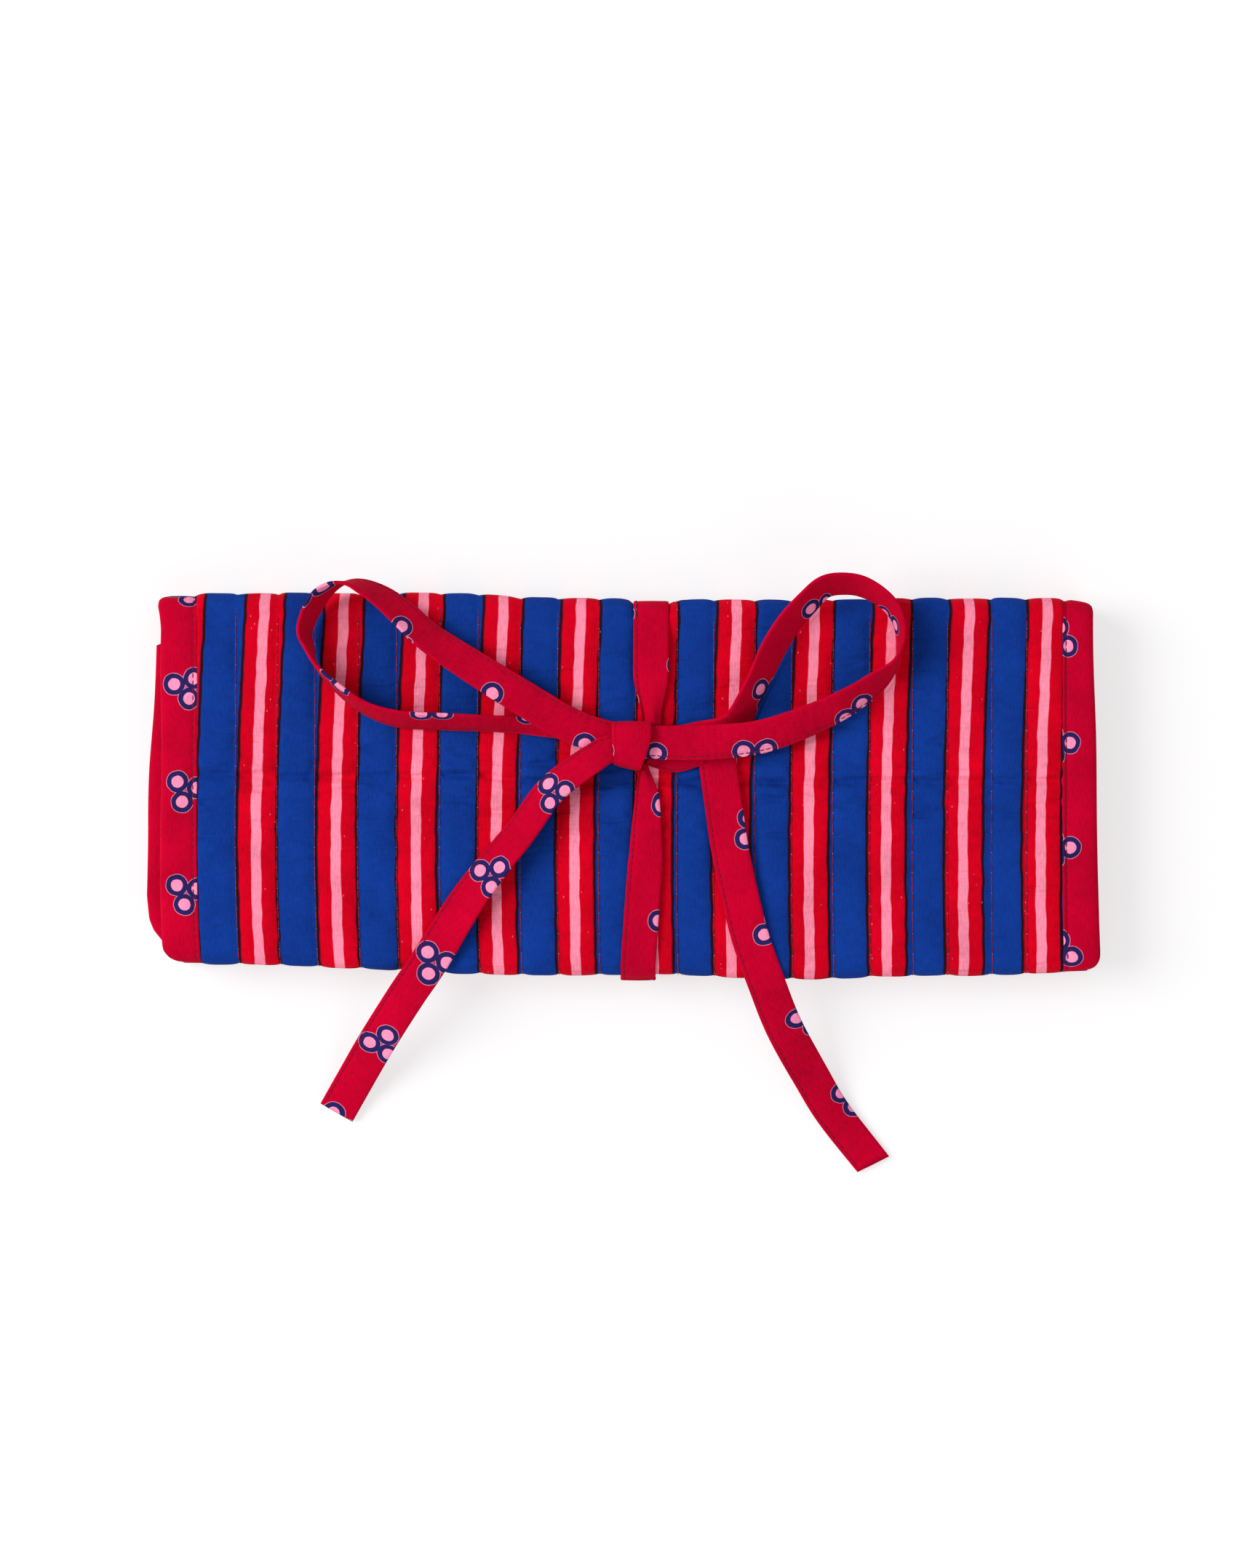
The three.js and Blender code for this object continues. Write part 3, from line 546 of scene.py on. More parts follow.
fibre_scale = (1 / (FIBRE_SPACING[0] * MM), 1 / (FIBRE_SPACING[1] * MM), 1)
fibre_map = add(tree, "ShaderNodeMapping", {"Vector": flat_cloth, "Scale": fibre_scale})
fibres = add(tree, "ShaderNodeTexVoronoi", {"Vector": fibre_map.outputs[0], "Scale": 1})
on_fibre = add(
    tree,
    "ShaderNodeMapRange",
    {"Value": fibres.outputs["Distance"], "From Min": 0.03, "From Max": 0.075, "To Min": 0.4, "To Max": 0},
)
in_red = add(tree, "ShaderNodeMath", {0: within.outputs[0], 1: RED_START}, operation="GREATER_THAN")
fleck = add(tree, "ShaderNodeMath", {0: on_fibre.outputs[0], 1: in_red.outputs[0]}, operation="MULTIPLY")
flecked = add(
    tree,
    "ShaderNodeMix",
    {"Factor": fleck.outputs[0], 6: stripes.outputs["Color"], 7: rgb(FIBRE_PALE)},
    data_type="RGBA",
)
woven(tree, flat_cloth, flecked.outputs[2], 0.9)

# Lining cotton: the same weave dyed plain red, so only the thread grain and the creases show.
DYE_CLOUD = 41.67
lining_cotton, tree = material("plain_lining_cotton")
flat_cloth = add(tree, "ShaderNodeUVMap", uv_map="cloth").outputs[0]
cloudy = add(
    tree, "ShaderNodeTexNoise", {"Vector": flat_cloth, "Scale": 1 / (DYE_CLOUD * MM), "Detail": 2}
)
dye = add(
    tree,
    "ShaderNodeMix",
    {"Factor": cloudy.outputs["Fac"], 6: rgb("#A90525"), 7: rgb("#B80C30")},
    data_type="RGBA",
)
woven(tree, flat_cloth, dye.outputs[2], 0.6)


def bend_lower(piece):
    """Bakes a piece of the back's placement into its mesh."""
    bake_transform(piece)


def bend_upper(piece):
    """Bakes a piece of the front's placement into its mesh."""
    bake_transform(piece)


END_BINDING = 8.0
UNDER_BINDING = 0.8
back_quilt = quilted("back_quilt", END_BINDING - UNDER_BINDING, SPINE_MIDDLE, True)
front_quilt = quilted("front_quilt", SPINE_MIDDLE, SLIP_END - END_BINDING + UNDER_BINDING, False)
for piece in (back_quilt, front_quilt):
    piece.data.materials.append(striped_cotton)
    piece.data.materials.append(lining_cotton)
bend_lower(back_quilt)
bend_upper(front_quilt)
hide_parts("back_cover", "back_wadding", "back_lining")
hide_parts("top_fold_quilt", "front_cover", "front_wadding", "front_lining")
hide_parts("hem_fold_quilt", "slip_pocket_quilt")


# Quilting stitches
# Wine red cotton thread sewn through all layers by machine, one straight row beside every stripe edge.
# The rows stay straight where the printed stripes lean, so they drift across the stripes.
STITCH_RING = 5
# Places along a stitch and how thick it is there
STITCH_SHAPE = [(0.0, 0.3), (0.18, 0.85), (0.5, 1.0), (0.82, 0.85), (1.0, 0.3)]


def run_along(points):
    """How far each point of a line lies from its first one, along the line."""
    steps = np.linalg.norm(np.diff(points, axis=-2), axis=-1)
    return np.concatenate([0 * steps[..., :1], np.cumsum(steps, axis=-1)], axis=-1)


def unit(vectors):
    """The same directions, each of length one."""
    return vectors / np.linalg.norm(vectors, axis=-1, keepdims=True)


def stitched(name, rows, pitch, thread, fill=0.9, offset=0.3):
    """Raised machine stitches along rows of points with outward directions, one mesh for all of them."""
    ring = STITCH_RING
    points = []
    faces = []
    cloth = []
    for route, outward in rows:
        run = run_along(route)
        for start in np.arange(pitch * offset, run[-1] - pitch, pitch):
            first = len(points)
            stations = start + np.array([t for t, fat in STITCH_SHAPE]) * pitch * fill
            centres = np.stack([np.interp(stations, run, route[:, i]) for i in range(3)], axis=1)
            lifts = np.stack([np.interp(stations, run, outward[:, i]) for i in range(3)], axis=1)
            heading = unit(centres[-1] - centres[0])
            for (t, fat), centre, lift in zip(STITCH_SHAPE, centres, lifts):
                sideways = np.cross(heading, lift)
                middle = centre + lift * thread * (fat - 0.75)
                for k in range(ring):
                    angle = 2 * math.pi * k / ring
                    spoke = sideways * math.cos(angle) + lift * math.sin(angle)
                    points.append(middle + spoke * thread / 2 * fat)
                    cloth.append((k, start + t))
            last = len(STITCH_SHAPE) - 1
            for j in range(last):
                for k in range(ring):
                    a = first + j * ring + k
                    b = first + j * ring + (k + 1) % ring
                    faces.append((a, b, b + ring, a + ring))
            faces.append(tuple(range(first + ring - 1, first - 1, -1)))
            faces.append(tuple(range(first + last * ring, first + (last + 1) * ring)))
    return object_from(name, points, faces, cloth)


SEAM_STEP = 0.8
ROW_DEPTH = STITCH_DIP - 0.1


def quilting_rows(s_from, s_to):
    """The stitch rows between the channels, each as its points and their outward directions."""
    s = np.arange(s_from, s_to, SEAM_STEP)
    depth = ROW_DEPTH * slip_thinning(s)
    outward = outward_at(s)
    rows = []
    for place in stitch_rows(s).T[1:-1]:
        rows.append((settle(in_sheet(place - HALF_QUILT, s, depth)), outward))
    return rows


# Sewing thread: spun cotton, dull, and unevenly dyed wine red, so its stitches vary in depth of colour.
# Its twist is too fine to show, so it is drawn 2.6 mm long.
SEWING_PLY = 2.632
sewing_thread, tree = material("dark_cotton_thread")
flat_cloth = add(tree, "ShaderNodeUVMap", uv_map="cloth").outputs[0]
twist = add(
    tree, "ShaderNodeTexNoise", {"Vector": flat_cloth, "Scale": 1 / (SEWING_PLY * MM), "Detail": 2}
)
ply = add(tree, "ShaderNodeValToRGB", {"Fac": twist.outputs["Fac"]})
set_stops(ply.color_ramp, [(0.38, "#4C1024"), (0.5, "#80142E"), (0.62, "#9C1634")])
spun = add(
    tree,
    "ShaderNodeBsdfPrincipled",
    {"Base Color": ply.outputs["Color"], "Roughness": 0.8, "Specular IOR Level": 0.3},
)
add(tree, "ShaderNodeOutputMaterial", {"Surface": spun.outputs[0]})

QUILT_STITCH = 3.0
QUILT_STITCH_FILL = 0.94
THREAD = 0.36
back_rows = quilting_rows(END_BINDING + 1, SPINE_MIDDLE)
front_rows = quilting_rows(SPINE_MIDDLE, SLIP_END - END_BINDING - 1)
back_stitches = stitched("back_quilting_stitches", back_rows, QUILT_STITCH, THREAD, fill=QUILT_STITCH_FILL)
front_stitches = stitched("front_quilting_stitches", front_rows, QUILT_STITCH, THREAD, fill=QUILT_STITCH_FILL)
for piece in (back_stitches, front_stitches):
    piece.data.materials.append(sewing_thread)
bend_lower(back_stitches)
bend_upper(front_stitches)

# Wadding fibre: pale tufts that the needle pulled up through its holes between the stitches.
FUZZ = 3.333
wadding_fibre, tree = material("pale_wadding_fibre")
flat_cloth = add(tree, "ShaderNodeUVMap", uv_map="cloth").outputs[0]
fuzz = add(tree, "ShaderNodeTexNoise", {"Vector": flat_cloth, "Scale": 1 / (FUZZ * MM), "Detail": 2})
shade = add(
    tree,
    "ShaderNodeMix",
    {"Factor": fuzz.outputs["Fac"], 6: rgb("#3C478E"), 7: rgb("#9AA2D2")},
    data_type="RGBA",
)
fluff = add(tree, "ShaderNodeBsdfPrincipled", {"Base Color": shade.outputs[2], "Roughness": 0.95})
add(tree, "ShaderNodeOutputMaterial", {"Surface": fluff.outputs[0]})

TUFT = 0.25
TUFT_PITCH = 2 * QUILT_STITCH
TUFT_FILL = 0.07
TUFT_OFFSET = 0.57
tufts = stitched("front_quilting_tufts", front_rows, TUFT_PITCH, TUFT, fill=TUFT_FILL, offset=TUFT_OFFSET)
tufts.data.materials.append(wadding_fibre)
bend_upper(tufts)


# Borders
# Strips of printed red cotton folded over the sheet's raw edges and topstitched close to the fold.
# They hold no wadding of their own, so they lie flatter and lower than the quilting beside them.
def tube(name, rings, cloth):
    """A closed solid skinned through rings of points, with a cap at both ends."""
    rows, columns = rings.shape[:2]
    points = rings.reshape(-1, 3)
    faces = []
    for r in range(rows - 1):
        for c in range(columns):
            a = r * columns + c
            b = r * columns + (c + 1) % columns
            faces.append((a, a + columns, b + columns, b))
    faces.append(tuple(range(columns)))
    faces.append(tuple(range(rows * columns - 1, (rows - 1) * columns - 1, -1)))
    return object_from(name, points, faces, cloth.reshape(-1, 2))


# Across a border, from its folded inner edge to its rounded outer edge and back underneath
BORDER_SECTION = np.array(
    [
        (0.1, 1.6), (0.0, 1.05), (0.35, 0.72), (0.9, 0.62), (1.3, 0.8), (1.6, 1.12), (1.9, 0.98), (2.8, 0.86),
        (4.4, 0.84), (6.2, 0.9), (8.0, 1.02), (9.6, 1.2), (10.7, 1.5), (11.3, 1.95), (11.5, 2.5), (11.3, 3.1),
        (10.6, 3.6), (9.0, 3.95), (6.0, 4.1), (3.0, 4.15), (0.9, 4.1), (0.3, 3.6), (0.1, 2.6),
    ]
)
BORDER_GROOVE = 5
# The left border is minus one and the right border one
INNER_EDGE = {-1: 1.3, 1: 0.5}
OUTER_EASE = {-1: 1.1, 1: 0.0}
PRINT_START = {-1: 6.0, 1: 10.5}
LOW_CORNER = {-1: 4.4, 1: 2.4}
HIGH_CORNER = {-1: 0.3, 1: 1.2}
CORNER_FLARE = {-1: 1.2, 1: 0.0}
LOW_CORNER_RUN = 7
HIGH_CORNER_RUN = 3
FLARE_RUN = 12
BORDER_WAVE = 0.18
BORDER_WANDER = 0.3
# The least depth of a border that lies on the table, round the fold and in its flat part
EASE_ROUND = 0.3
EASE_FLAT = 0.55
PEEK = 6.2
PEEK_PLACES = [-1, -0.93, -0.88, -0.82, -0.76, -0.63, 0.1, 0.735, 0.75]
PEEK_SHARES = [0, 0.0, 0.3, 0.7, 0.9, 1.0, 0.74, 0.46, 0]


def back_peek(y):
    """The back's left border lies askew and shows beside the front."""
    return PEEK * np.interp(y / HALF_HEIGHT, PEEK_PLACES, PEEK_SHARES)


def corner_pull(y, side):
    """The folded corners are rounded, the lower left one most, and the upper left one flares."""
    low = np.clip((-y - HALF_HEIGHT + LOW_CORNER_RUN) / LOW_CORNER_RUN, 0, 1)
    high = np.clip((y - HALF_HEIGHT + HIGH_CORNER_RUN) / HIGH_CORNER_RUN, 0, 1)
    flare = CORNER_FLARE[side] * smooth((y - HALF_HEIGHT + FLARE_RUN) / FLARE_RUN)
    low_pull = LOW_CORNER[side] * (1 - np.sqrt(1 - low**2))
    high_pull = HIGH_CORNER[side] * (1 - np.sqrt(1 - high**2))
    return low_pull + high_pull - flare


def border_faces(side, s, lies_on_table):
    """Rings of points round a border at places along the sheet, and where they lie on its flat cloth."""
    y = along_sheet(s)[0]
    inner_edge = INNER_EDGE[side]
    across = (inner_edge + BORDER_SECTION[:, 0] * (1 - inner_edge / BORDER))[None, :]
    depth = BORDER_SECTION[:, 1][None, :] * slip_thinning(s)[:, None]
    wave = BORDER_WAVE * uneven(across * 2.0, s[:, None], 4.0 + side, 17.0)
    depth = depth + wave * smooth((across - inner_edge - 1) / 3) * (depth < 2.5)
    share = smooth((across - inner_edge) / (BORDER - inner_edge))
    reach = across + (OUTER_EASE[side] - corner_pull(y, side)[:, None]) * share
    print_start = PRINT_START[side]
    if lies_on_table:
        flat = smooth((BACK_END - s) / 4)[:, None]
        depth = np.maximum(depth, EASE_ROUND) * (1 - flat) + flat * np.maximum(depth, EASE_FLAT)
        if side < 0:
            reach = reach + back_peek(y)[:, None] * share
            print_start = print_start - back_peek(y)[:, None]
    reach = reach + BORDER_WANDER * uneven(s[:, None], 0 * across, 2.0 + side, 40.0) * share
    points = in_sheet(side * (HALF_QUILT + reach), s[:, None], depth)
    run = run_along(np.stack([reach, depth], axis=-1)) + print_start
    cloth = np.stack(np.broadcast_arrays(side * run, s[:, None]), axis=-1)
    return settle(points), cloth


def border(name, side, s_from, s_to, lies_on_table):
    """A stretch of a border, skinned along the sheet."""
    s = np.unique(np.append(np.arange(s_from, s_to, 1.0), s_to))
    points, cloth = border_faces(side, s, lies_on_table)
    if side > 0:
        points = points[:, ::-1]
        cloth = cloth[:, ::-1]
    return tube(name, points, cloth)


def border_seam(side, s_from, s_to, lies_on_table):
    """The topstitch row of a border, in the groove beside its folded inner edge."""
    s = np.arange(s_from, s_to, SEAM_STEP)
    points = border_faces(side, s, lies_on_table)[0]
    return points[:, BORDER_GROOVE], outward_at(s)


# Printed red cotton: the same matt weave in red, screen-printed with clusters of three ringed dots.
# The dots are pink, their rings navy with a thin pale edge, and the rows of clusters are half-dropped.
RED = "#C4002B"
DOT_PINK = "#FF95BC"
RING_NAVY = "#2A215D"
RING_EDGE = "#D88CA6"
CLUSTER_COLUMN = 21.0
CLUSTER_ROW = 31.0
CLUSTER_RADIUS = 3.6
DOT_RADIUS = 1.75
RING_RADIUS = 3.2
# How far the ink bleeds, half of it on the whole, in blots of what size, and what the colour ramp spans
INK_BLEED = 0.55
INK_BLOT = 2.632
INK_SHIFT = 0.27
RAMP_SPAN = 10.0
printed_cotton, tree = material("printed_red_cotton")
flat_cloth = add(tree, "ShaderNodeUVMap", uv_map="cloth").outputs[0]
place = add(tree, "ShaderNodeSeparateXYZ", {0: flat_cloth})
column = add(tree, "ShaderNodeMath", {0: place.outputs["X"], 1: CLUSTER_COLUMN * MM}, operation="DIVIDE")
column_number = add(tree, "ShaderNodeMath", {0: column.outputs[0]}, operation="FLOOR")
halved = add(tree, "ShaderNodeMath", {0: column_number.outputs[0], 1: 0.5}, operation="MULTIPLY")
odd = add(tree, "ShaderNodeMath", {0: halved.outputs[0]}, operation="FRACT")
row = add(tree, "ShaderNodeMath", {0: place.outputs["Y"], 1: CLUSTER_ROW * MM}, operation="DIVIDE")
dropped = add(tree, "ShaderNodeMath", {0: row.outputs[0], 1: odd.outputs[0]}, operation="ADD")
row_number = add(tree, "ShaderNodeMath", {0: dropped.outputs[0]}, operation="FLOOR")
column_part = add(tree, "ShaderNodeMath", {0: column.outputs[0]}, operation="FRACT")
row_part = add(tree, "ShaderNodeMath", {0: dropped.outputs[0]}, operation="FRACT")
cell = add(tree, "ShaderNodeCombineXYZ", {"X": column_part.outputs[0], "Y": row_part.outputs[0]})
from_middle = add(tree, "ShaderNodeVectorMath", {0: cell.outputs[0], 1: (0.5, 0.5, 0)}, operation="SUBTRACT")
cell_place = add(
    tree,
    "ShaderNodeVectorMath",
    {0: from_middle.outputs[0], 1: (CLUSTER_COLUMN, CLUSTER_ROW, 0)},
    operation="MULTIPLY",
)
cell_number = add(tree, "ShaderNodeCombineXYZ", {"X": column_number.outputs[0], "Y": row_number.outputs[0]})
chance = add(tree, "ShaderNodeTexWhiteNoise", {"Vector": cell_number.outputs[0]}, noise_dimensions="2D")
angle = add(tree, "ShaderNodeMath", {0: chance.outputs["Value"], 1: 2 * math.pi}, operation="MULTIPLY")
turned = add(
    tree,
    "ShaderNodeVectorRotate",
    {"Vector": cell_place.outputs[0], "Angle": angle.outputs[0]},
    rotation_type="Z_AXIS",
)
nearest = None
for third in range(3):
    bearing = third * 2 * math.pi / 3
    centre = (CLUSTER_RADIUS * math.cos(bearing), CLUSTER_RADIUS * math.sin(bearing), 0)
    far = add(tree, "ShaderNodeVectorMath", {0: turned.outputs[0], 1: centre}, operation="DISTANCE")
    gap = far.outputs["Value"]
    if nearest is None:
        nearest = gap
    else:
        nearest = add(tree, "ShaderNodeMath", {0: nearest, 1: gap}, operation="MINIMUM").outputs[0]
blot = add(tree, "ShaderNodeTexNoise", {"Vector": flat_cloth, "Scale": 1 / (INK_BLOT * MM), "Detail": 2})
rough_edge = add(
    tree, "ShaderNodeMath", {0: blot.outputs["Fac"], 1: INK_BLEED, 2: nearest}, operation="MULTIPLY_ADD"
)
spread = add(tree, "ShaderNodeMath", {0: rough_edge.outputs[0], 1: RAMP_SPAN}, operation="DIVIDE")
motif = add(tree, "ShaderNodeValToRGB", {"Fac": spread.outputs[0]})
rings_out = [
    (DOT_RADIUS, DOT_PINK),
    (DOT_RADIUS + 0.12, RING_NAVY),
    (RING_RADIUS, RING_NAVY),
    (RING_RADIUS + 0.08, RING_EDGE),
    (RING_RADIUS + 0.16, RING_EDGE),
    (RING_RADIUS + 0.26, RED),
]
set_stops(motif.color_ramp, [((radius + INK_SHIFT) / RAMP_SPAN, colour) for radius, colour in rings_out])
woven(tree, flat_cloth, motif.outputs["Color"], 0.35)

# Red thread: the topstitching is sewn in a dull red a little darker than the cloth.
# Its twist is too fine to show, so it is drawn 1.1 mm long.
RED_PLY = 1.111
red_thread, tree = material("red_cotton_thread")
flat_cloth = add(tree, "ShaderNodeUVMap", uv_map="cloth").outputs[0]
twist = add(tree, "ShaderNodeTexNoise", {"Vector": flat_cloth, "Scale": 1 / (RED_PLY * MM), "Detail": 2})
ply = add(
    tree,
    "ShaderNodeMix",
    {"Factor": twist.outputs["Fac"], 6: rgb("#5A0620"), 7: rgb("#8E0A2C")},
    data_type="RGBA",
)
spun = add(
    tree,
    "ShaderNodeBsdfPrincipled",
    {"Base Color": ply.outputs[2], "Roughness": 0.8, "Specular IOR Level": 0.2},
)
add(tree, "ShaderNodeOutputMaterial", {"Surface": spun.outputs[0]})

TOPSTITCH = 2.2
TOPSTITCH_THREAD = 0.42


def topstitch(name, route, outward, pitch=TOPSTITCH, thread=TOPSTITCH_THREAD):
    """A row of red stitches along a line of places with their outward directions."""
    made = stitched(name, [(route, outward)], pitch, thread)
    made.data.materials.append(red_thread)
    return made


for side, hand in ((-1, "left"), (1, "right")):
    lower = border(f"back_{hand}_border", side, 0.0, SPINE_MIDDLE, True)
    upper = border(f"front_{hand}_border", side, SPINE_MIDDLE, SLIP_END, False)
    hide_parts(f"back_{hand}_binding")
    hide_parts(f"top_fold_{hand}_binding", f"front_{hand}_binding")
    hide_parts(f"hem_fold_{hand}_binding", f"slip_pocket_{hand}_binding")
    lower_line = border_seam(side, 1.0, SPINE_MIDDLE, True)
    upper_line = border_seam(side, SPINE_MIDDLE, SLIP_END - 1, False)
    lower_seam = topstitch(f"back_{hand}_border_stitches", *lower_line)
    upper_seam = topstitch(f"front_{hand}_border_stitches", *upper_line)
    for piece in (lower, upper):
        piece.data.materials.append(printed_cotton)
    for piece in (lower, lower_seam):
        bend_lower(piece)
    for piece in (upper, upper_seam):
        bend_upper(piece)


# End bindings
# The same printed strip over the back's free edge and over the slip pocket's mouth.
# Each is folded round the raw edge and topstitched like the side borders.

# Along an end binding and in from the sheet's face, from its folded inner edge to the sheet's edge
END_SECTION = [(0, 1.5), (0.2, 1.15), (1, 1.1), (3, 1.0), (5, 1.0), (7, 1.2), (7.8, 1.8), (8, 2.7)]
END_UNDER = 4.15
END_COLUMNS = 128
END_EASE = 0.3
END_WAVE = 0.08
END_PRINT_START = 9
END_SEAM = 1.4


def end_binding(name, s_from, s_to, open_end):
    """A strip across the whole width, folded round an end of the sheet."""
    u = np.linspace(-HALF_QUILT - EDGE_LEFT + END_EASE, HALF_QUILT + EDGE_RIGHT - END_EASE, END_COLUMNS)
    section = END_SECTION
    if open_end < 0:
        section = [(END_BINDING - place, depth) for place, depth in END_SECTION]
    under = [(place, END_UNDER) for place, depth in section[::-1][1:-1]]
    loop = np.array(section + under)
    s = s_from + loop[:, 0] / END_BINDING * (s_to - s_from)
    points = in_sheet(u[:, None], s, loop[:, 1] * slip_thinning(s))
    points[..., 2] += END_WAVE * uneven(u[:, None], loop[:, 0][None, :], 6.0, 14.0) * (loop[:, 1] < 2)
    if open_end < 0:
        points = points[:, ::-1]
    cloth = np.stack(np.broadcast_arrays(run_along(loop)[None, :] + END_PRINT_START, u[:, None]), axis=-1)
    return tube(name, settle(points), cloth)


def end_seam(name, s_at, depth, facing):
    """The topstitch row of an end binding, on the face that shows when the roll is open."""
    u = np.arange(-HALF_QUILT - EDGE_LEFT + 1, HALF_QUILT + EDGE_RIGHT - 1, 2.0)
    s = 0 * u + s_at
    points = in_sheet(u, s, depth * slip_thinning(s))
    return topstitch(name, settle(points), -facing * outward_at(s))


back_end = end_binding("back_end_binding_strip", END_BINDING, 0.0, -1)
slip_mouth = end_binding("slip_pocket_mouth_strip", SLIP_END - END_BINDING, SLIP_END, 1)
back_end_seam = end_seam("back_end_binding_stitches", END_BINDING - END_SEAM, depth=4.1, facing=1)
slip_mouth_seam = end_seam(
    "slip_pocket_mouth_stitches", SLIP_END - END_BINDING + END_SEAM, depth=1.15, facing=-1
)
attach(back_end_seam, "back")
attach(slip_mouth_seam, "front")
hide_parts("back_end_binding")
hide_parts("slip_pocket_mouth_binding")
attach(back_end, "back")
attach(slip_mouth, "front")
for piece in (back_end, slip_mouth):
    piece.data.materials.append(printed_cotton)


# Zipped pockets
# A panel and a strip of lining cotton sewn flat on the lining of the back and of the front.
# They are hemmed along a zip and topstitched round their other edges.
POCKET_SEAM = 1.6
POCKET_STITCH = 2.6
POCKET_THREAD = 0.36
SEAM_DENT = 0.18
SEAM_DENT_WIDTH = 0.35
SEAM_SINK = 0.3
POCKET_EASE = 0.15
POCKET_WAVE = 0.12


def box_mm(node):
    """The low and the high corner of a CAD solid, in millimetres."""
    return (np.array(corner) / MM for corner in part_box(node))


def pocket_cloth(name, node, facing, body):
    """A flat piece of lining cotton in a CAD solid's box, dented along the seam round its edges."""
    low, high = box_mm(node)
    x = np.linspace(low[0], high[0], 150)
    y = np.linspace(low[1], high[1], max(8, int((high[1] - low[1]) / 1.2)))
    grid_x, grid_y = np.meshgrid(x, y)
    from_ends = np.minimum(grid_x - low[0], high[0] - grid_x)
    from_edge = np.minimum(from_ends, np.minimum(grid_y - low[1], high[1] - grid_y))
    loose = smooth(from_edge / 6)
    raised = POCKET_WAVE * loose * uneven(grid_x, grid_y * 1.6, 12.0 + facing, 22.0)
    hem = SEAM_DENT * np.exp(-(((from_edge - POCKET_SEAM) / SEAM_DENT_WIDTH) ** 2))
    near, far = (low[2], high[2]) if facing > 0 else (high[2], low[2])
    face = np.stack([grid_x, grid_y, far - facing * (POCKET_EASE - raised + hem)], axis=-1)
    under = np.stack([grid_x, grid_y, 0 * grid_x + near], axis=-1)
    cloth = np.stack([grid_x, grid_y], axis=-1)
    if facing > 0:
        made = shell(name, face[::-1], under[::-1], cloth[::-1], cloth[::-1])
    else:
        made = shell(name, face, under, cloth, cloth)
    made.data.materials.append(lining_cotton)
    made.data.materials.append(lining_cotton)
    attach(made, body)
    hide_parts(node)
    left, bottom = low[:2] + POCKET_SEAM
    right, top = high[:2] - POCKET_SEAM
    corners = [(left, bottom), (right, bottom), (right, top), (left, top), (left, bottom)]
    line = np.array([(px, py, far - facing * SEAM_SINK) for px, py in corners])
    sides = [np.linspace(a, b, 60, endpoint=False) for a, b in zip(line, line[1:])]
    route = np.concatenate(sides + [line[-1:]])
    outward = np.tile([0.0, 0.0, float(facing)], (len(route), 1))
    seam = topstitch(f"{name}_stitches", route, outward, POCKET_STITCH, POCKET_THREAD)
    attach(seam, body)


for body, facing in (("back", 1), ("front", -1)):
    pocket_cloth(f"{body}_pocket_cloth", f"{body}_pocket_panel", facing, body)
    pocket_cloth(f"{body}_pocket_facing", f"{body}_pocket_strip", facing, body)


# Zips
# Two woven tapes with brass teeth crimped on their edges, and a cast slider with a flat pull.
# The slider and the pull run and tilt on their own joints.

# Zip tape: polyester herringbone, slightly glossier than cotton, its ribs drawn 1.2 mm apart to show.
RIB_SPACING = 1.2
RIB_HEIGHT = 0.3
zip_cloth, tree = material("woven_polyester_zip_tape")
flat_cloth = add(tree, "ShaderNodeUVMap", uv_map="cloth").outputs[0]
ribs = add(
    tree,
    "ShaderNodeTexWave",
    {"Vector": flat_cloth, "Scale": WAVE_SCALE / (RIB_SPACING * MM), "Distortion": 0.6},
    bands_direction="DIAGONAL",
)
# The tape's colour follows its ribs, darker in their hollows and lighter on their tops: painted shade
rib_colour_painted_shade = add(
    tree,
    "ShaderNodeMix",
    {"Factor": ribs.outputs["Fac"], 6: rgb("#8E0A24"), 7: rgb("#B8102F")},
    data_type="RGBA",
)
rib_relief = add(
    tree, "ShaderNodeBump", {"Height": ribs.outputs["Fac"], "Strength": 0.3, "Distance": RIB_HEIGHT * MM}
)
polyester = add(
    tree,
    "ShaderNodeBsdfPrincipled",
    {
        "Base Color": rib_colour_painted_shade.outputs[2],
        "Roughness": 0.6,
        "Specular IOR Level": 0.3,
        "Normal": rib_relief.outputs[0],
    },
)
add(tree, "ShaderNodeOutputMaterial", {"Surface": polyester.outputs[0]})

# Brass: cast and tumbled, so it is bright but softly scratched, and a little darker in patches.
PATINA_PATCH = 3.846
SCUFF = 0.4167
SCUFF_DEPTH = 0.1
brass, tree = material("tumbled_brass")
solid = add(tree, "ShaderNodeTexCoord").outputs["Object"]
patina = add(tree, "ShaderNodeTexNoise", {"Vector": solid, "Scale": 1 / (PATINA_PATCH * MM), "Detail": 4})
scuffs = add(tree, "ShaderNodeTexNoise", {"Vector": solid, "Scale": 1 / (SCUFF * MM), "Detail": 2})
metal_colour = add(
    tree,
    "ShaderNodeMix",
    {"Factor": patina.outputs["Fac"], 6: rgb("#B08A3C"), 7: rgb("#E3C277")},
    data_type="RGBA",
)
polish = add(tree, "ShaderNodeMapRange", {"Value": scuffs.outputs["Fac"], "To Min": 0.22, "To Max": 0.42})
scratch = add(
    tree, "ShaderNodeBump", {"Height": scuffs.outputs["Fac"], "Strength": 0.12, "Distance": SCUFF_DEPTH * MM}
)
metal = add(
    tree,
    "ShaderNodeBsdfPrincipled",
    {
        "Base Color": metal_colour.outputs[2],
        "Metallic": 1.0,
        "Roughness": polish.outputs[0],
        "Normal": scratch.outputs[0],
    },
)
add(tree, "ShaderNodeOutputMaterial", {"Surface": metal.outputs[0]})


ZIP_TAPE_BOW = 0.06
ZIP_TAPE_TOP_EASE = 0.08
ZIP_TAPE_UNDER_EASE = 0.05


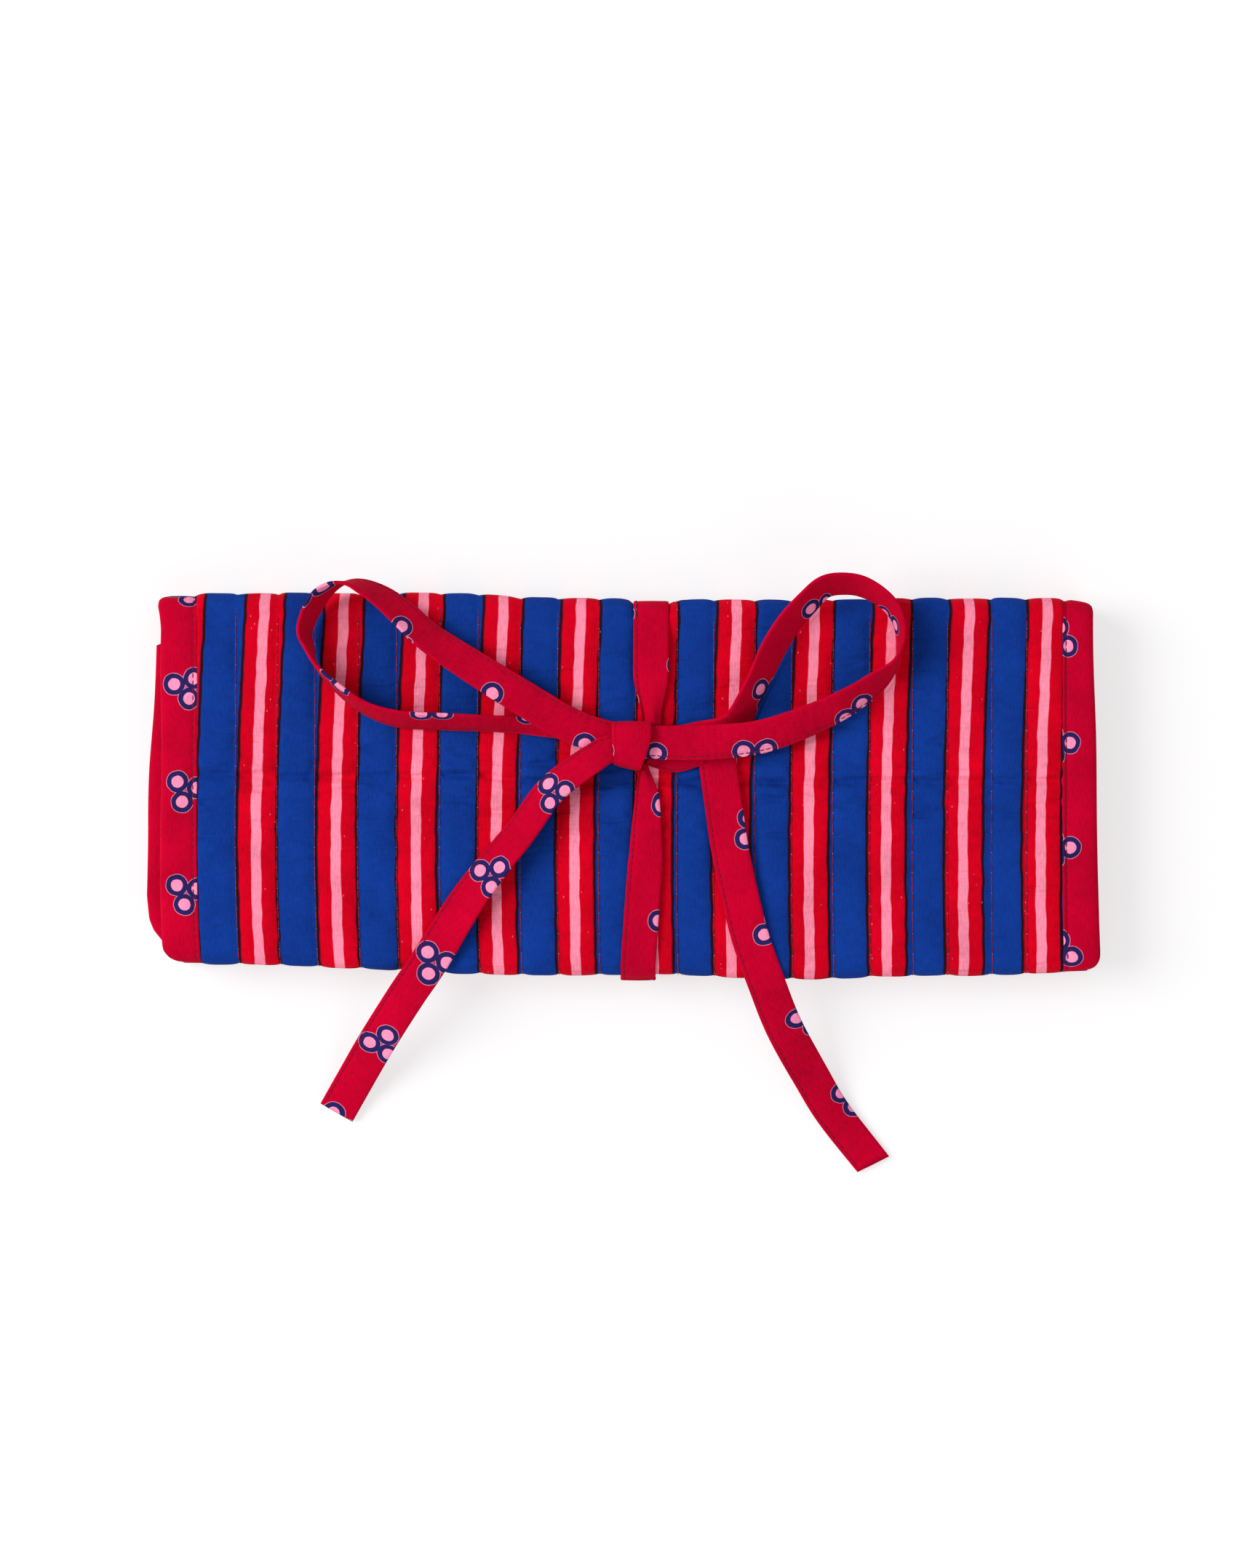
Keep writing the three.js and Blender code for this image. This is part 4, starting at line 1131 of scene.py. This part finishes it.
def zip_tape(name, node, body):
    """A woven tape in a CAD solid's box, slightly bowed."""
    low, high = box_mm(node)
    x = np.linspace(low[0], high[0], 90)
    y = np.linspace(low[1], high[1], 9)
    grid_x, grid_y = np.meshgrid(x, y)
    bow = ZIP_TAPE_BOW * uneven(grid_x, grid_y, 15.0, 12.0)
    top = np.stack([grid_x, grid_y, high[2] - ZIP_TAPE_TOP_EASE + bow], axis=-1)
    bottom = np.stack([grid_x, grid_y, low[2] + ZIP_TAPE_UNDER_EASE + bow], axis=-1)
    cloth = np.stack([grid_x, grid_y], axis=-1)
    made = shell(name, top[::-1], bottom[::-1], cloth[::-1], cloth[::-1])
    made.data.materials.append(zip_cloth)
    made.data.materials.append(zip_cloth)
    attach(made, body)
    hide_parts(node)


TOOTH_PITCH = 2.0
# A tooth's outline along and across the zip, and its levels with how far it is drawn in there
TOOTH = [
    (-0.62, 1.0), (-0.62, 0.35), (-0.42, 0.1), (-0.5, -0.18),
    (0.5, -0.18), (0.42, 0.1), (0.62, 0.35), (0.62, 1.0),
]
TOOTH_LEVELS = [(-1, 0.86), (-0.6, 1.0), (0.6, 1.0), (1, 0.86)]


def zip_teeth(name, node, body):
    """Two rows of crimped teeth that mesh along the middle."""
    low, high = box_mm(node)
    middle = (low + high) / 2
    half_height = (high[2] - low[2]) / 2
    reach = (high[1] - low[1]) / 2
    points = []
    faces = []
    count = len(TOOTH)
    for number, x in enumerate(np.arange(low[0] + 1, high[0] - 1, TOOTH_PITCH / 2)):
        side = 1 if number % 2 else -1
        first = len(points)
        for level, shrink in TOOTH_LEVELS:
            for a, b in TOOTH:
                across = middle[1] + side * b * reach * (shrink if b > 0.5 else 1)
                points.append((x + a * shrink * 0.9, across, middle[2] + level * half_height))
        for level in range(3):
            for k in range(count):
                a = first + level * count + k
                b = first + level * count + (k + 1) % count
                ring = (a, b, b + count, a + count)
                faces.append(ring if side < 0 else ring[::-1])
        bottom = tuple(range(first, first + count))
        top = tuple(range(first + 3 * count, first + 4 * count))
        faces.append(bottom[::-1] if side < 0 else bottom)
        faces.append(top if side < 0 else top[::-1])
    cloth = np.array(points)[:, :2]
    made = object_from(name, points, faces, cloth)
    made.data.materials.append(brass)
    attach(made, body)
    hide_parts(node)


def plate(outline, levels):
    """Points and faces of a flat cast part: an outline drawn in or out at each level (height, inset)."""
    outline = np.asarray(outline, dtype=float)
    count = len(outline)
    centre = outline.mean(axis=0)
    points = []
    for height, inset in levels:
        arm = outline - centre
        length = np.linalg.norm(arm, axis=1)[:, None]
        points += [(x, y, height) for x, y in centre + arm * (1 - inset / length)]
    faces = [tuple(range(count))[::-1]]
    for level in range(len(levels) - 1):
        for k in range(count):
            a = level * count + k
            b = level * count + (k + 1) % count
            faces.append((a, b, b + count, a + count))
    last = (len(levels) - 1) * count
    faces.append(tuple(range(last, last + count)))
    return points, faces


def joined(parts):
    """Several cast parts as one list of points and faces."""
    points = []
    faces = []
    for part_points, part_faces in parts:
        faces += [tuple(i + len(points) for i in face) for face in part_faces]
        points += part_points
    return points, faces


# Outlines along and across the slider, and levels over its base with how far each is drawn in
SLIDER_WAIST = [(-1, 0.62), (-0.75, 0.74), (-0.2, 0.8), (0.35, 0.94), (0.75, 1.0), (0.95, 0.9), (1, 0.5)]
COVER_LEVELS = [(0.42, 0.25), (0.46, 0.0), (0.62, 0.0), (0.68, 0.4)]
SLIDER_WALL = [(-0.7, 0.66), (0.8, 0.86), (0.8, 0.99), (-0.7, 0.8)]
WALL_LEVELS = [(0.0, 0.15), (0.05, 0.0), (0.44, 0.0)]
SLIDER_POST = [(-0.5, 0.78), (0.2, 0.8), (0.2, 0.96), (-0.5, 0.94)]
POST_LEVELS = [(0.6, 0.0), (0.95, 0.0), (1.0, 0.2)]
METAL_EDGE = 0.2


def soften(piece):
    """Rounds the edges of a metal part."""
    edge = piece.modifiers.new("soft_edges", "BEVEL")
    edge.width = METAL_EDGE * MM
    edge.segments = 2


def zip_slider(name, node, facing, body):
    """A cast slider: a waisted cover plate, two side walls and two posts beside the pull."""
    low, high = box_mm(node)
    middle = (low + high) / 2
    long = (high[0] - low[0]) / 2
    wide = (high[1] - low[1]) / 2
    tall = high[2] - low[2]
    half = [(x * long, y * wide) for x, y in SLIDER_WAIST]
    outline = half + [(x, -y) for x, y in half[::-1]]
    parts = [plate(outline[::-1], [(share * tall, inset) for share, inset in COVER_LEVELS])]
    for corners, levels in ((SLIDER_WALL, WALL_LEVELS), (SLIDER_POST, POST_LEVELS)):
        for side in (-1, 1):
            outline = [(x * long, side * y * wide) for x, y in corners]
            parts.append(plate(outline[::side], [(share * tall, inset) for share, inset in levels]))
    points, faces = joined(parts)
    points = np.array(points)
    if facing < 0:
        points[:, 1:] *= -1
    base = low[2] if facing > 0 else high[2]
    points = points + np.array([middle[0], middle[1], base])
    made = object_from(name, points, faces, points[:, :2])
    soften(made)
    made.data.materials.append(brass)
    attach(made, body)
    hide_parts(node)


PULL_SQUARENESS = 0.55
PULL_STEPS = 40


def squared_off(value, power):
    """A sine or cosine raised towards one, so that a circle drawn with it gets flatter sides."""
    return np.sign(value) * np.abs(value) ** power


def zip_pull(name, node, body):
    """A flat pull with a rounded end and a long eye."""
    low, high = box_mm(node)
    middle = (low + high) / 2
    long = (high[0] - low[0]) / 2
    wide = (high[1] - low[1]) / 2
    thick = high[2] - low[2]
    count = PULL_STEPS
    angle = np.arange(count) * 2 * math.pi / count
    swell = 0.74 + 0.26 * smooth((-np.cos(angle) + 0.4) / 1.2)
    rim_x = long * squared_off(np.cos(angle), PULL_SQUARENESS)
    rim = np.stack([rim_x, wide * swell * np.sin(angle)], axis=1)
    eye = np.stack([-0.12 * long + 0.52 * long * np.cos(angle), 0.42 * wide * np.sin(angle)], axis=1)
    loops = [(rim * 0.97, 0.0), (rim, 0.2), (rim, 0.8), (rim * 0.97, 1.0)]
    loops += [(eye * 1.06, 1.0), (eye, 0.85), (eye, 0.15), (eye * 1.06, 0.0)]
    points = np.concatenate([np.column_stack([ring, np.full(count, level * thick)]) for ring, level in loops])
    faces = []
    for level in range(len(loops)):
        for k in range(count):
            a = level * count + k
            b = level * count + (k + 1) % count
            c = ((level + 1) % len(loops)) * count + (k + 1) % count
            d = ((level + 1) % len(loops)) * count + k
            faces.append((a, b, c, d))
    points = points + np.array([middle[0], middle[1], low[2]])
    made = object_from(name, points, faces, points[:, :2])
    made.data.materials.append(brass)
    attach(made, body)
    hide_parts(node)


for body, facing in (("back", 1), ("front", -1)):
    zip_tape(f"{body}_zip_lower_tape", f"{body}_zip_tape_lower", body)
    zip_tape(f"{body}_zip_upper_tape", f"{body}_zip_tape_upper", body)
    zip_teeth(f"{body}_zip_teeth", f"{body}_zip_chain", body)
    zip_slider(f"{body}_zip_runner", f"{body}_zip_slider", facing, f"{body}_slider")
    zip_pull(f"{body}_zip_handle", f"{body}_zip_pull", f"{body}_pull")


# Ring bar
# A stuffed roll of the printed cotton that rings slide on, sewn down at its left end.
# Its right end is a flat tab that snaps on a brass press stud.
TAB = 18.0
TAB_THICKNESS = 1.2
TAB_ROUNDING = 4.5
CAP_GAP = 0.3
SEWN_HEIGHT = 1.4
SEWN_MIDDLE = 0.8
PLEAT = 0.05
LUMP = 0.02
CLOTH_RADIUS = 4.2
# How far the stuffing takes to thin out towards the sewn end and the tab
THINNING = 6
ROUND_STEPS = 28
low, high = box_mm("ring_bar")
bar_y = (low[1] + high[1]) / 2
bar_wide = high[1] - low[1]
bar_length = high[0] - low[0]
tab_start = bar_length - TAB
tab_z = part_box("snap_cap")[0][2] / MM - CAP_GAP - TAB_THICKNESS / 2
bar_top = high[2]
x = np.concatenate(
    [
        np.linspace(0, THINNING, 14),
        np.linspace(THINNING + 1, tab_start - THINNING, 110),
        np.linspace(tab_start - THINNING + 1, tab_start + 1, 16),
        np.linspace(tab_start + 2, bar_length, 18),
    ]
)
stuffed = smooth(x / THINNING) * smooth((tab_start - x) / THINNING)
tabbed = smooth((x - (tab_start - THINNING)) / THINNING)
from_round = np.clip((x - bar_length + TAB_ROUNDING) / TAB_ROUNDING, 0, 1)
rounded = np.sqrt(np.clip(1 - from_round**2, 0, 1))
width = bar_wide * (0.8 + 0.2 * stuffed) * (1 - 0.1 * tabbed) * (0.25 + 0.75 * rounded)
start_z = low[2] + SEWN_MIDDLE
full_z = (low[2] + bar_top) / 2
middle_z = start_z + (full_z - start_z) * stuffed
middle_z = middle_z * (1 - tabbed * (1 - stuffed)) + tab_z * tabbed * (1 - stuffed)
tall = SEWN_HEIGHT * (1 - tabbed) + TAB_THICKNESS * tabbed + (bar_top - low[2] - SEWN_HEIGHT) * stuffed
angle = np.arange(ROUND_STEPS) * 2 * math.pi / ROUND_STEPS
squareness = np.where(stuffed > 0.5, 1.0, 0.7)[:, None]
cosine = squared_off(np.cos(angle), squareness)
sine = squared_off(np.sin(angle), squareness)
pleats = PLEAT * (np.cos(angle * 9 + 1)[None, :] + 1)
near_ends = np.exp(-x / 5) + np.exp(-np.abs(x - tab_start) / 4)
gather = 1 - pleats * near_ends[:, None]
lumps = 1 + LUMP * uneven(x[:, None], angle[None, :] * 4, 11.0, 14.0) * stuffed[:, None] - LUMP
rings = np.empty((len(x), len(angle), 3))
rings[..., 0] = (low[0] + x)[:, None]
rings[..., 1] = bar_y + width[:, None] / 2 * cosine * gather * lumps
rings[..., 2] = middle_z[:, None] + tall[:, None] / 2 * sine * gather * lumps
cloth = np.stack(np.broadcast_arrays(angle[None, :] * CLOTH_RADIUS, x[:, None]), axis=-1)
ring_roll = tube("ring_bar_roll", rings, cloth)
ring_roll.data.materials.append(printed_cotton)
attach(ring_roll, "ring_bar")
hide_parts("ring_bar")
for node in ("snap_socket", "snap_stud", "snap_cap"):
    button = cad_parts[node]
    button.data.materials.clear()
    button.data.materials.append(brass)
    soften(button)


# Tie
# One long tape of the printed red cotton, folded in four and topstitched along one edge.
# It is sewn to the back's free edge, goes round the roll and is tied in a bow over the front.
TAPE_WIDTH = 10.5
TAIL_WIDTH = 11.1
TAPE_THICKNESS = 1.2
TAPE_PLEAT = 1.4
TAPE_STITCH = 2.0
# Across the tape in half widths and through it in thicknesses; the groove of its seam is one point
TAPE_SECTION = np.array(
    [
        (-1.0, 0.0), (-0.99, 0.3), (-0.95, 0.46), (-0.86, 0.5), (-0.78, 0.34), (-0.7, 0.48), (-0.45, 0.52),
        (0.0, 0.55), (0.45, 0.52), (0.8, 0.5), (0.93, 0.44), (0.99, 0.28), (1.0, 0.0), (0.99, -0.28),
        (0.93, -0.44), (0.8, -0.5), (0.4, -0.52), (0.0, -0.54), (-0.4, -0.52), (-0.8, -0.5), (-0.95, -0.44),
        (-0.99, -0.28),
    ]
)
TAPE_SEAM = 4


def through(route, cuts):
    """A smooth line through the route's rows (Catmull-Rom), with cuts steps from row to row."""
    rows = np.asarray(route, dtype=float)
    padded = np.concatenate([[2 * rows[0] - rows[1]], rows, [2 * rows[-1] - rows[-2]]])
    t = np.arange(cuts)[:, None] / cuts
    out = []
    for a, b, c, d in zip(padded, padded[1:], padded[2:], padded[3:]):
        second = 2 * a - 5 * b + 4 * c - d
        third = 3 * b - a - 3 * c + d
        out.append(0.5 * (2 * b + (c - a) * t + second * t**2 + third * t**3))
    return np.concatenate(out + [rows[-1:]])


def tape_rings(centre, across, face, width, pleat):
    """Tape outlines along a centre line; pleat folds the tape lengthwise where it is gathered."""
    a = TAPE_SECTION[:, 0][None, :, None]
    b = TAPE_SECTION[:, 1][None, :, None]
    fold = pleat[:, None, None] * (np.sin(a * 4.4 + 0.9) * 0.9 + np.sin(a * 9.1) * 0.25)
    side = across[:, None, :] * a * width[:, None, None] / 2
    return centre[:, None, :] + side + face[:, None, :] * (b * TAPE_THICKNESS + fold)


def tape_cloth(centre, shift):
    """Where the points of the tape's outlines lie on its flat cloth, shift giving the print's start."""
    run = run_along(centre)
    u = TAPE_SECTION[:, 0] * TAPE_WIDTH / 2 + shift[0]
    return np.stack(np.broadcast_arrays(u[None, :], run[:, None] + shift[1]), axis=-1)


def tape_stitches(name, rings, body):
    """The tape's topstitch row, in its groove and away from the point below it."""
    seam = rings[:, TAPE_SEAM]
    below = rings[:, len(TAPE_SECTION) - TAPE_SEAM - 1]
    made = topstitch(name, seam, unit(seam - below), TAPE_STITCH)
    if body:
        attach(made, body)
    return made


def ribbon(name, route, width, shift, pinch=((0, 0), (1, 0)), slant=0.0):
    """Free tape along rows of place, height over the front face and tilt from lying flat.

    pinch gives how much of its width is gathered at shares of its length, and slant how far
    the cut end runs ahead at one edge.
    """
    line = through(route, 8)
    centre = line[:, :3] + np.array([ASKEW, 0, THICKNESS])
    along = unit(np.gradient(centre, axis=0))
    level = unit(np.cross([0, 0, 1.0], along))
    tilt = np.radians(line[:, 3])[:, None]
    across = level * np.cos(tilt) + np.cross(along, level) * np.sin(tilt)
    face = np.cross(along, across)
    run = run_along(centre)
    gathered = np.interp(run / run[-1], *zip(*pinch))
    rings = tape_rings(centre, across, face, width * (1 - gathered), TAPE_PLEAT * gathered)
    rings[-1] += along[-1] * slant * TAPE_SECTION[:, :1]
    made = tube(name, rings, tape_cloth(centre, shift))
    made.data.materials.append(printed_cotton)
    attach(made, "front")
    seam = tape_stitches(f"{name}_stitches", rings, "front")
    return made, centre, seam


KNOT_X = 0.2
KNOT_Y = 12.35
KNOT_WIDTH = 11.6
KNOT_LENGTH = 13.8
KNOT_HEIGHT = 9.2
KNOT_LEFT = KNOT_X - KNOT_WIDTH / 2 - 0.3
KNOT_RIGHT = KNOT_X + KNOT_WIDTH / 2 + 0.3
# Routes of the free tapes: place across and along the roll, height over the front face and tilt
LEFT_LOOP = [
    (KNOT_X - 1, 13.4, 3.9, 2), (KNOT_LEFT - 1, 14.8, 4.3, 4), (-18.0, 18.2, 5.8, 8),
    (-35.8, 28.7, 8.2, 14), (-57.3, 42.5, 7.0, 34),
    (-65.9, 50.0, 6.6, 40), (-72.3, 55.3, 6.4, 51), (-78.7, 58.8, 6.3, 66), (-83.4, 59.9, 6.2, 84),
    (-88.4, 58.3, 6.2, 104), (-92.4, 54.3, 6.1, 114), (-95.7, 46.3, 6.1, 109), (-94.4, 40.8, 6.1, 99),
    (-91.8, 34.9, 6.1, 86), (-85.0, 28.2, 6.1, 77), (-77.4, 22.9, 6.1, 72), (-67.8, 19.9, 6.0, 66),
    (-54.9, 19.2, 5.8, 66), (-42.0, 18.6, 5.5, 62), (-31.0, 18.0, 3.2, 42), (-20.8, 17.2, 2.2, 12),
    (KNOT_LEFT - 1, 14.8, 1.8, 2), (KNOT_X - 1, 13.2, 1.7, 0),
]
RIGHT_LOOP = [
    (KNOT_X + 1, 13.2, 5.6, 2), (KNOT_RIGHT + 0.6, 13.0, 6.0, 3), (11.4, 12.9, 6.5, 5),
    (24.9, 13.2, 6.9, 13), (38.4, 14.8, 6.6, 23),
    (53.2, 19.9, 6.2, 32), (65.4, 26.0, 6.0, 44), (72.7, 31.3, 6.0, 56), (77.6, 36.5, 6.1, 80),
    (79.2, 43.3, 6.2, 97), (78.5, 49.1, 6.2, 104), (75.4, 54.1, 6.1, 111), (69.6, 58.1, 6.0, 118),
    (64.0, 59.6, 5.9, 122), (57.0, 58.8, 5.8, 125), (51.5, 53.8, 5.7, 130), (46.1, 47.6, 5.6, 132),
    (41.4, 39.7, 5.4, 134), (35.8, 27.9, 5.0, 130), (29.3, 17.4, 3.4, 142), (17.5, 13.8, 2.9, 172),
    (KNOT_RIGHT + 0.6, 14.0, 2.8, 179), (KNOT_X + 1, 13.6, 2.7, 180),
]
LEFT_TAIL = [
    (KNOT_X - 1, 12.0, 6.4, 4), (KNOT_LEFT - 1, 10.9, 6.9, 8), (-10.8, 8.6, 7.5, 9),
    (-16.1, 5.0, 6.6, 11), (-21.2, 1.1, 5.6, 20),
    (-25.8, -3.8, 4.6, 29), (-32.5, -13.3, 3.9, 35), (-41.4, -24.2, 3.3, 30), (-49.2, -34.9, 2.4, 20),
    (-59.8, -52.1, 1.1, 0), (-66.3, -61.6, -1.2, 0), (-75.5, -75.9, -9.0, 0), (-83.2, -89.0, -16.2, 0),
    (-88.0, -97.4, -18.8, 0),
]
RIGHT_TAIL = [
    (25.2, 11.2, 1.6, 0), (25.7, 6.2, 1.3, 0), (27.2, -4.7, 1.6, 0), (29.2, -18.4, 1.8, 0),
    (32.2, -32.4, 1.5, 0),
    (35.4, -45.0, 1.2, 0), (40.1, -58.1, -0.2, 0), (45.5, -71.4, -6.0, 0), (53.8, -86.4, -14.0, 0),
    (60.7, -97.8, -18.0, 0), (72.6, -113.0, -19.2, 0),
]
TUCK = [(KNOT_RIGHT - 1, 9.5, 2.2, 0), (10, 8.0, 1.6, 4), (14, 7.5, 1.5, 6), (21.0, 9.8, 2.0, 0)]


def free_tape(name, route, width, shift, pinch, slant=0.0):
    """A loop or a tail of the bow."""
    piece, centre, seam = ribbon(name, route, width, shift, pinch, slant)
    return piece


LEFT_LOOP_PINCH = ((0, 0.28), (0.03, 0.1), (0.07, 0), (0.77, 0), (0.86, 0.42), (1, 0.45))
left_loop = free_tape("bow_left_loop", LEFT_LOOP, TAPE_WIDTH, (3, 4), LEFT_LOOP_PINCH)
RIGHT_LOOP_PINCH = ((0, 0.12), (0.08, 0), (0.9, 0), (0.96, 0.2), (1, 0.3))
right_loop = free_tape("bow_right_loop", RIGHT_LOOP, TAPE_WIDTH, (16, 12), RIGHT_LOOP_PINCH)
LEFT_TAIL_PINCH = ((0, 0.3), (0.04, 0.26), (0.09, 0.22), (0.15, 0.18), (0.21, 0.08), (0.29, 0), (1, 0))
left_tail = free_tape("bow_left_tail", LEFT_TAIL, TAIL_WIDTH, (9, 20), LEFT_TAIL_PINCH)
RIGHT_TAIL_PINCH = ((0, 0), (0.7, 0), (1, 0.06))
RIGHT_TAIL_SLANT = 1.1
right_tail = free_tape(
    "bow_right_tail", RIGHT_TAIL, TAIL_WIDTH, (24, 6), RIGHT_TAIL_PINCH, RIGHT_TAIL_SLANT
)
TUCK_WIDTH = TAPE_WIDTH * 0.6
tuck = ribbon("bow_tuck", TUCK, TUCK_WIDTH, (0, 9))[0]
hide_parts("tie_left_loop")
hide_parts("tie_right_loop")
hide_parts("tie_left_tail")
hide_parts("tie_right_tail")
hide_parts("tie_tuck")


# Tape round the roll
# The sewn part of the tie: down the back, over the fold to the knot, and from the knot over the hem.
# It is gathered lengthwise where it goes into the knot.
KNOT_TOP = KNOT_Y + KNOT_LENGTH / 2
KNOT_BOTTOM = KNOT_Y - KNOT_LENGTH / 2
TAPE_LIFT = 0.3 + TAPE_THICKNESS / 2
FOLD_TIGHTNESS = 2.2
HEM_TIGHTNESS = 0.6
BAND_STEP = 0.6


def band(name, centre, outward, width, pleat, shift):
    """Sewn tape along a line of places with their outward directions."""
    lie = settle(centre)
    across = unit(np.cross(outward, unit(np.gradient(lie, axis=0))))
    rings = tape_rings(lie, across, outward, width, pleat)
    made = tube(name, rings, tape_cloth(lie, shift))
    made.data.materials.append(printed_cotton)
    return made, tape_stitches(f"{name}_stitches", rings, None)


def over_sheet(s, x):
    """Tape lying on the sheet, pulled tight where it goes round the fold and the hem."""
    on_fold = smooth((FRONT_START + 8 - s) / 10)
    on_hem = smooth((s - FRONT_END + 6) / 8)
    lift = TAPE_LIFT - (FOLD_TIGHTNESS * on_fold + HEM_TIGHTNESS * on_hem)
    return in_sheet(x, s, -lift), outward_at(s)


s = np.arange(SPINE_MIDDLE, FRONT_START + FOLD_CENTRE - KNOT_TOP + 1.5, BAND_STEP)
y = along_sheet(s)[0]
near_knot = smooth((KNOT_TOP + 15 - y) / 15) * (s > SPINE_END)
centre, outward = over_sheet(s, TIE_X + 0.2 * near_knot)
upper_band, upper_band_seam = band(
    "tie_upper_band", centre, outward, TAPE_WIDTH * (1 - 0.45 * near_knot), 1.0 * near_knot, (21, 8)
)
for piece in (upper_band, upper_band_seam):
    bend_upper(piece)
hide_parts("tie_upper_strand", "tie_top_strand")

# Places down the tape from the knot, and where it lies and how wide it is there
DRIFT_PLACES = [0, 10, 28, 60]
DRIFT = [3.6, 4.8, 4.4, HEM_X]
WIDTH_PLACES = [0, 2, 9, 18, 30]
WIDTHS = [2.2, 3.2, 7.0, 8.8, 10.3]
hem_middle = FRONT_END + HEM_RADIUS * math.pi / 2
s = np.arange(FRONT_START + FOLD_CENTRE - KNOT_BOTTOM - 1.5, hem_middle, BAND_STEP)
fall = s - s[0]
centre, outward = over_sheet(s, np.interp(fall, DRIFT_PLACES, DRIFT))
width = np.interp(fall, WIDTH_PLACES, WIDTHS)
hem_band, hem_band_seam = band("tie_hem_band", centre, outward, width, 0.9 * smooth(1 - fall / 16), (44, 2))
for piece in (hem_band, hem_band_seam):
    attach(piece, "front")
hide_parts("tie_lower_strand")

UNDER = 0.1 + TAPE_THICKNESS / 2
END_RADIUS = 1.4
s = np.arange(SPINE_MIDDLE, BACK_END, -BAND_STEP)
in_z = along_sheet(s)[3]
tight_stand = (TAPE_LIFT - FOLD_TIGHTNESS) * smooth((s - BACK_END) / 6)
stand = np.minimum(tight_stand, (FOLD_RADIUS - UNDER) / np.maximum(in_z, 1e-3) - FOLD_RADIUS)
down = in_sheet(TIE_X, s, -stand)
down_out = outward_at(s)
flat_y = np.arange(FOLD_CENTRE, -HALF_HEIGHT + 0.6, -1.5)
drift = np.interp(flat_y, [-HALF_HEIGHT, FOLD_CENTRE], [HEM_X, TIE_X])
beneath = np.stack([drift, flat_y, 0 * flat_y + UNDER], axis=1)
beneath_out = np.tile([0.0, 0.0, -1.0], (len(flat_y), 1))
turn = np.radians(np.arange(-90, -181, -10.0))
edge_y = -HALF_HEIGHT + 0.5
round_out = np.stack([0 * turn, np.cos(turn), np.sin(turn)], axis=1)
round_end = np.array([HEM_X, edge_y, UNDER + END_RADIUS]) + END_RADIUS * round_out
rise_z = np.arange(UNDER + END_RADIUS + 0.8, THICKNESS - HEM_RADIUS - 0.2, 0.8)
rise = np.stack([0 * rise_z + HEM_X, 0 * rise_z + edge_y - END_RADIUS, rise_z], axis=1)
rise_out = np.tile([0.0, -1.0, 0.0], (len(rise_z), 1))
centre = np.concatenate([down, beneath, round_end, rise])
outward = np.concatenate([down_out, beneath_out, round_out, rise_out])
full = np.full(len(centre), TAPE_WIDTH)
lower_band, lower_band_seam = band("tie_lower_band", centre, outward, full, 0 * full, (58, 14))
for piece in (lower_band, lower_band_seam):
    bend_lower(piece)
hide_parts("tie_back_strand")


# Knot
# The tape wrapped once over the crossing and pulled tight, so its face is smooth and stands proud.
# The wrap narrows and leans to the left below, and a wad of the crossing tapes fills it.

# Rows of place across, place along, height and width, each as a share of the knot's own size
KNOT_WRAP = [
    (0.00, 0.43, 0.10, 0.88),
    (0.00, 0.46, 0.45, 0.95),
    (0.00, 0.44, 0.78, 0.99),
    (0.00, 0.36, 0.915, 1.0),
    (0.00, 0.18, 0.945, 0.99),
    (-0.02, 0.00, 0.95, 0.93),
    (-0.05, -0.20, 0.935, 0.85),
    (-0.08, -0.37, 0.89, 0.74),
    (-0.10, -0.44, 0.76, 0.70),
    (-0.11, -0.46, 0.45, 0.68),
    (-0.11, -0.43, 0.10, 0.66),
]
# Rows of place along, width and height of the wad, again as shares
KNOT_WAD = [
    (-0.36, 0.36, 0.5),
    (-0.3, 0.5, 0.78),
    (-0.1, 0.72, 0.86),
    (0.2, 0.8, 0.86),
    (0.36, 0.74, 0.8),
    (0.40, 0.6, 0.55),
]
WAD_SQUARENESS = 0.6
WAD_STEPS = 24
KNOT_LEAN = 0.24
KNOT_BASE = THICKNESS + 0.3
line = through(KNOT_WRAP, 6)
centre = np.stack(
    [
        KNOT_X + ASKEW + line[:, 0] * KNOT_WIDTH,
        KNOT_Y + line[:, 1] * KNOT_LENGTH,
        KNOT_BASE + line[:, 2] * KNOT_HEIGHT,
    ],
    axis=1,
)
along = unit(np.gradient(centre, axis=0))
slope = -KNOT_LEAN * smooth(-line[:, 1] / 0.44)
across = np.stack([1 + 0 * slope, slope, 0 * slope], axis=1)
across = unit(across - along * (across * along).sum(axis=1)[:, None])
rings = tape_rings(centre, across, np.cross(along, across), line[:, 3] * KNOT_WIDTH, 0 * line[:, 3])
knot = tube("bow_knot", rings, tape_cloth(centre, (21, 3)))
angle = np.arange(WAD_STEPS) * 2 * math.pi / WAD_STEPS
round_x = squared_off(np.cos(angle), WAD_SQUARENESS)
round_z = squared_off(np.sin(angle), WAD_SQUARENESS)
wad = []
for place, wide, high in KNOT_WAD:
    ring = np.empty((len(angle), 3))
    ring[:, 0] = KNOT_X + ASKEW - 0.6 * smooth(0.3 - place) + round_x * wide * KNOT_WIDTH / 2
    ring[:, 1] = KNOT_Y + place * KNOT_LENGTH
    ring[:, 2] = KNOT_BASE + high * KNOT_HEIGHT * (1 + round_z) / 2
    wad.append(ring)
wad = np.array(wad)[::-1]
filling = tube("bow_knot_filling", wad, wad[..., :2] + 9)
for piece in (knot, filling):
    piece.data.materials.append(printed_cotton)
    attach(piece, "front")
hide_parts("tie_knot")
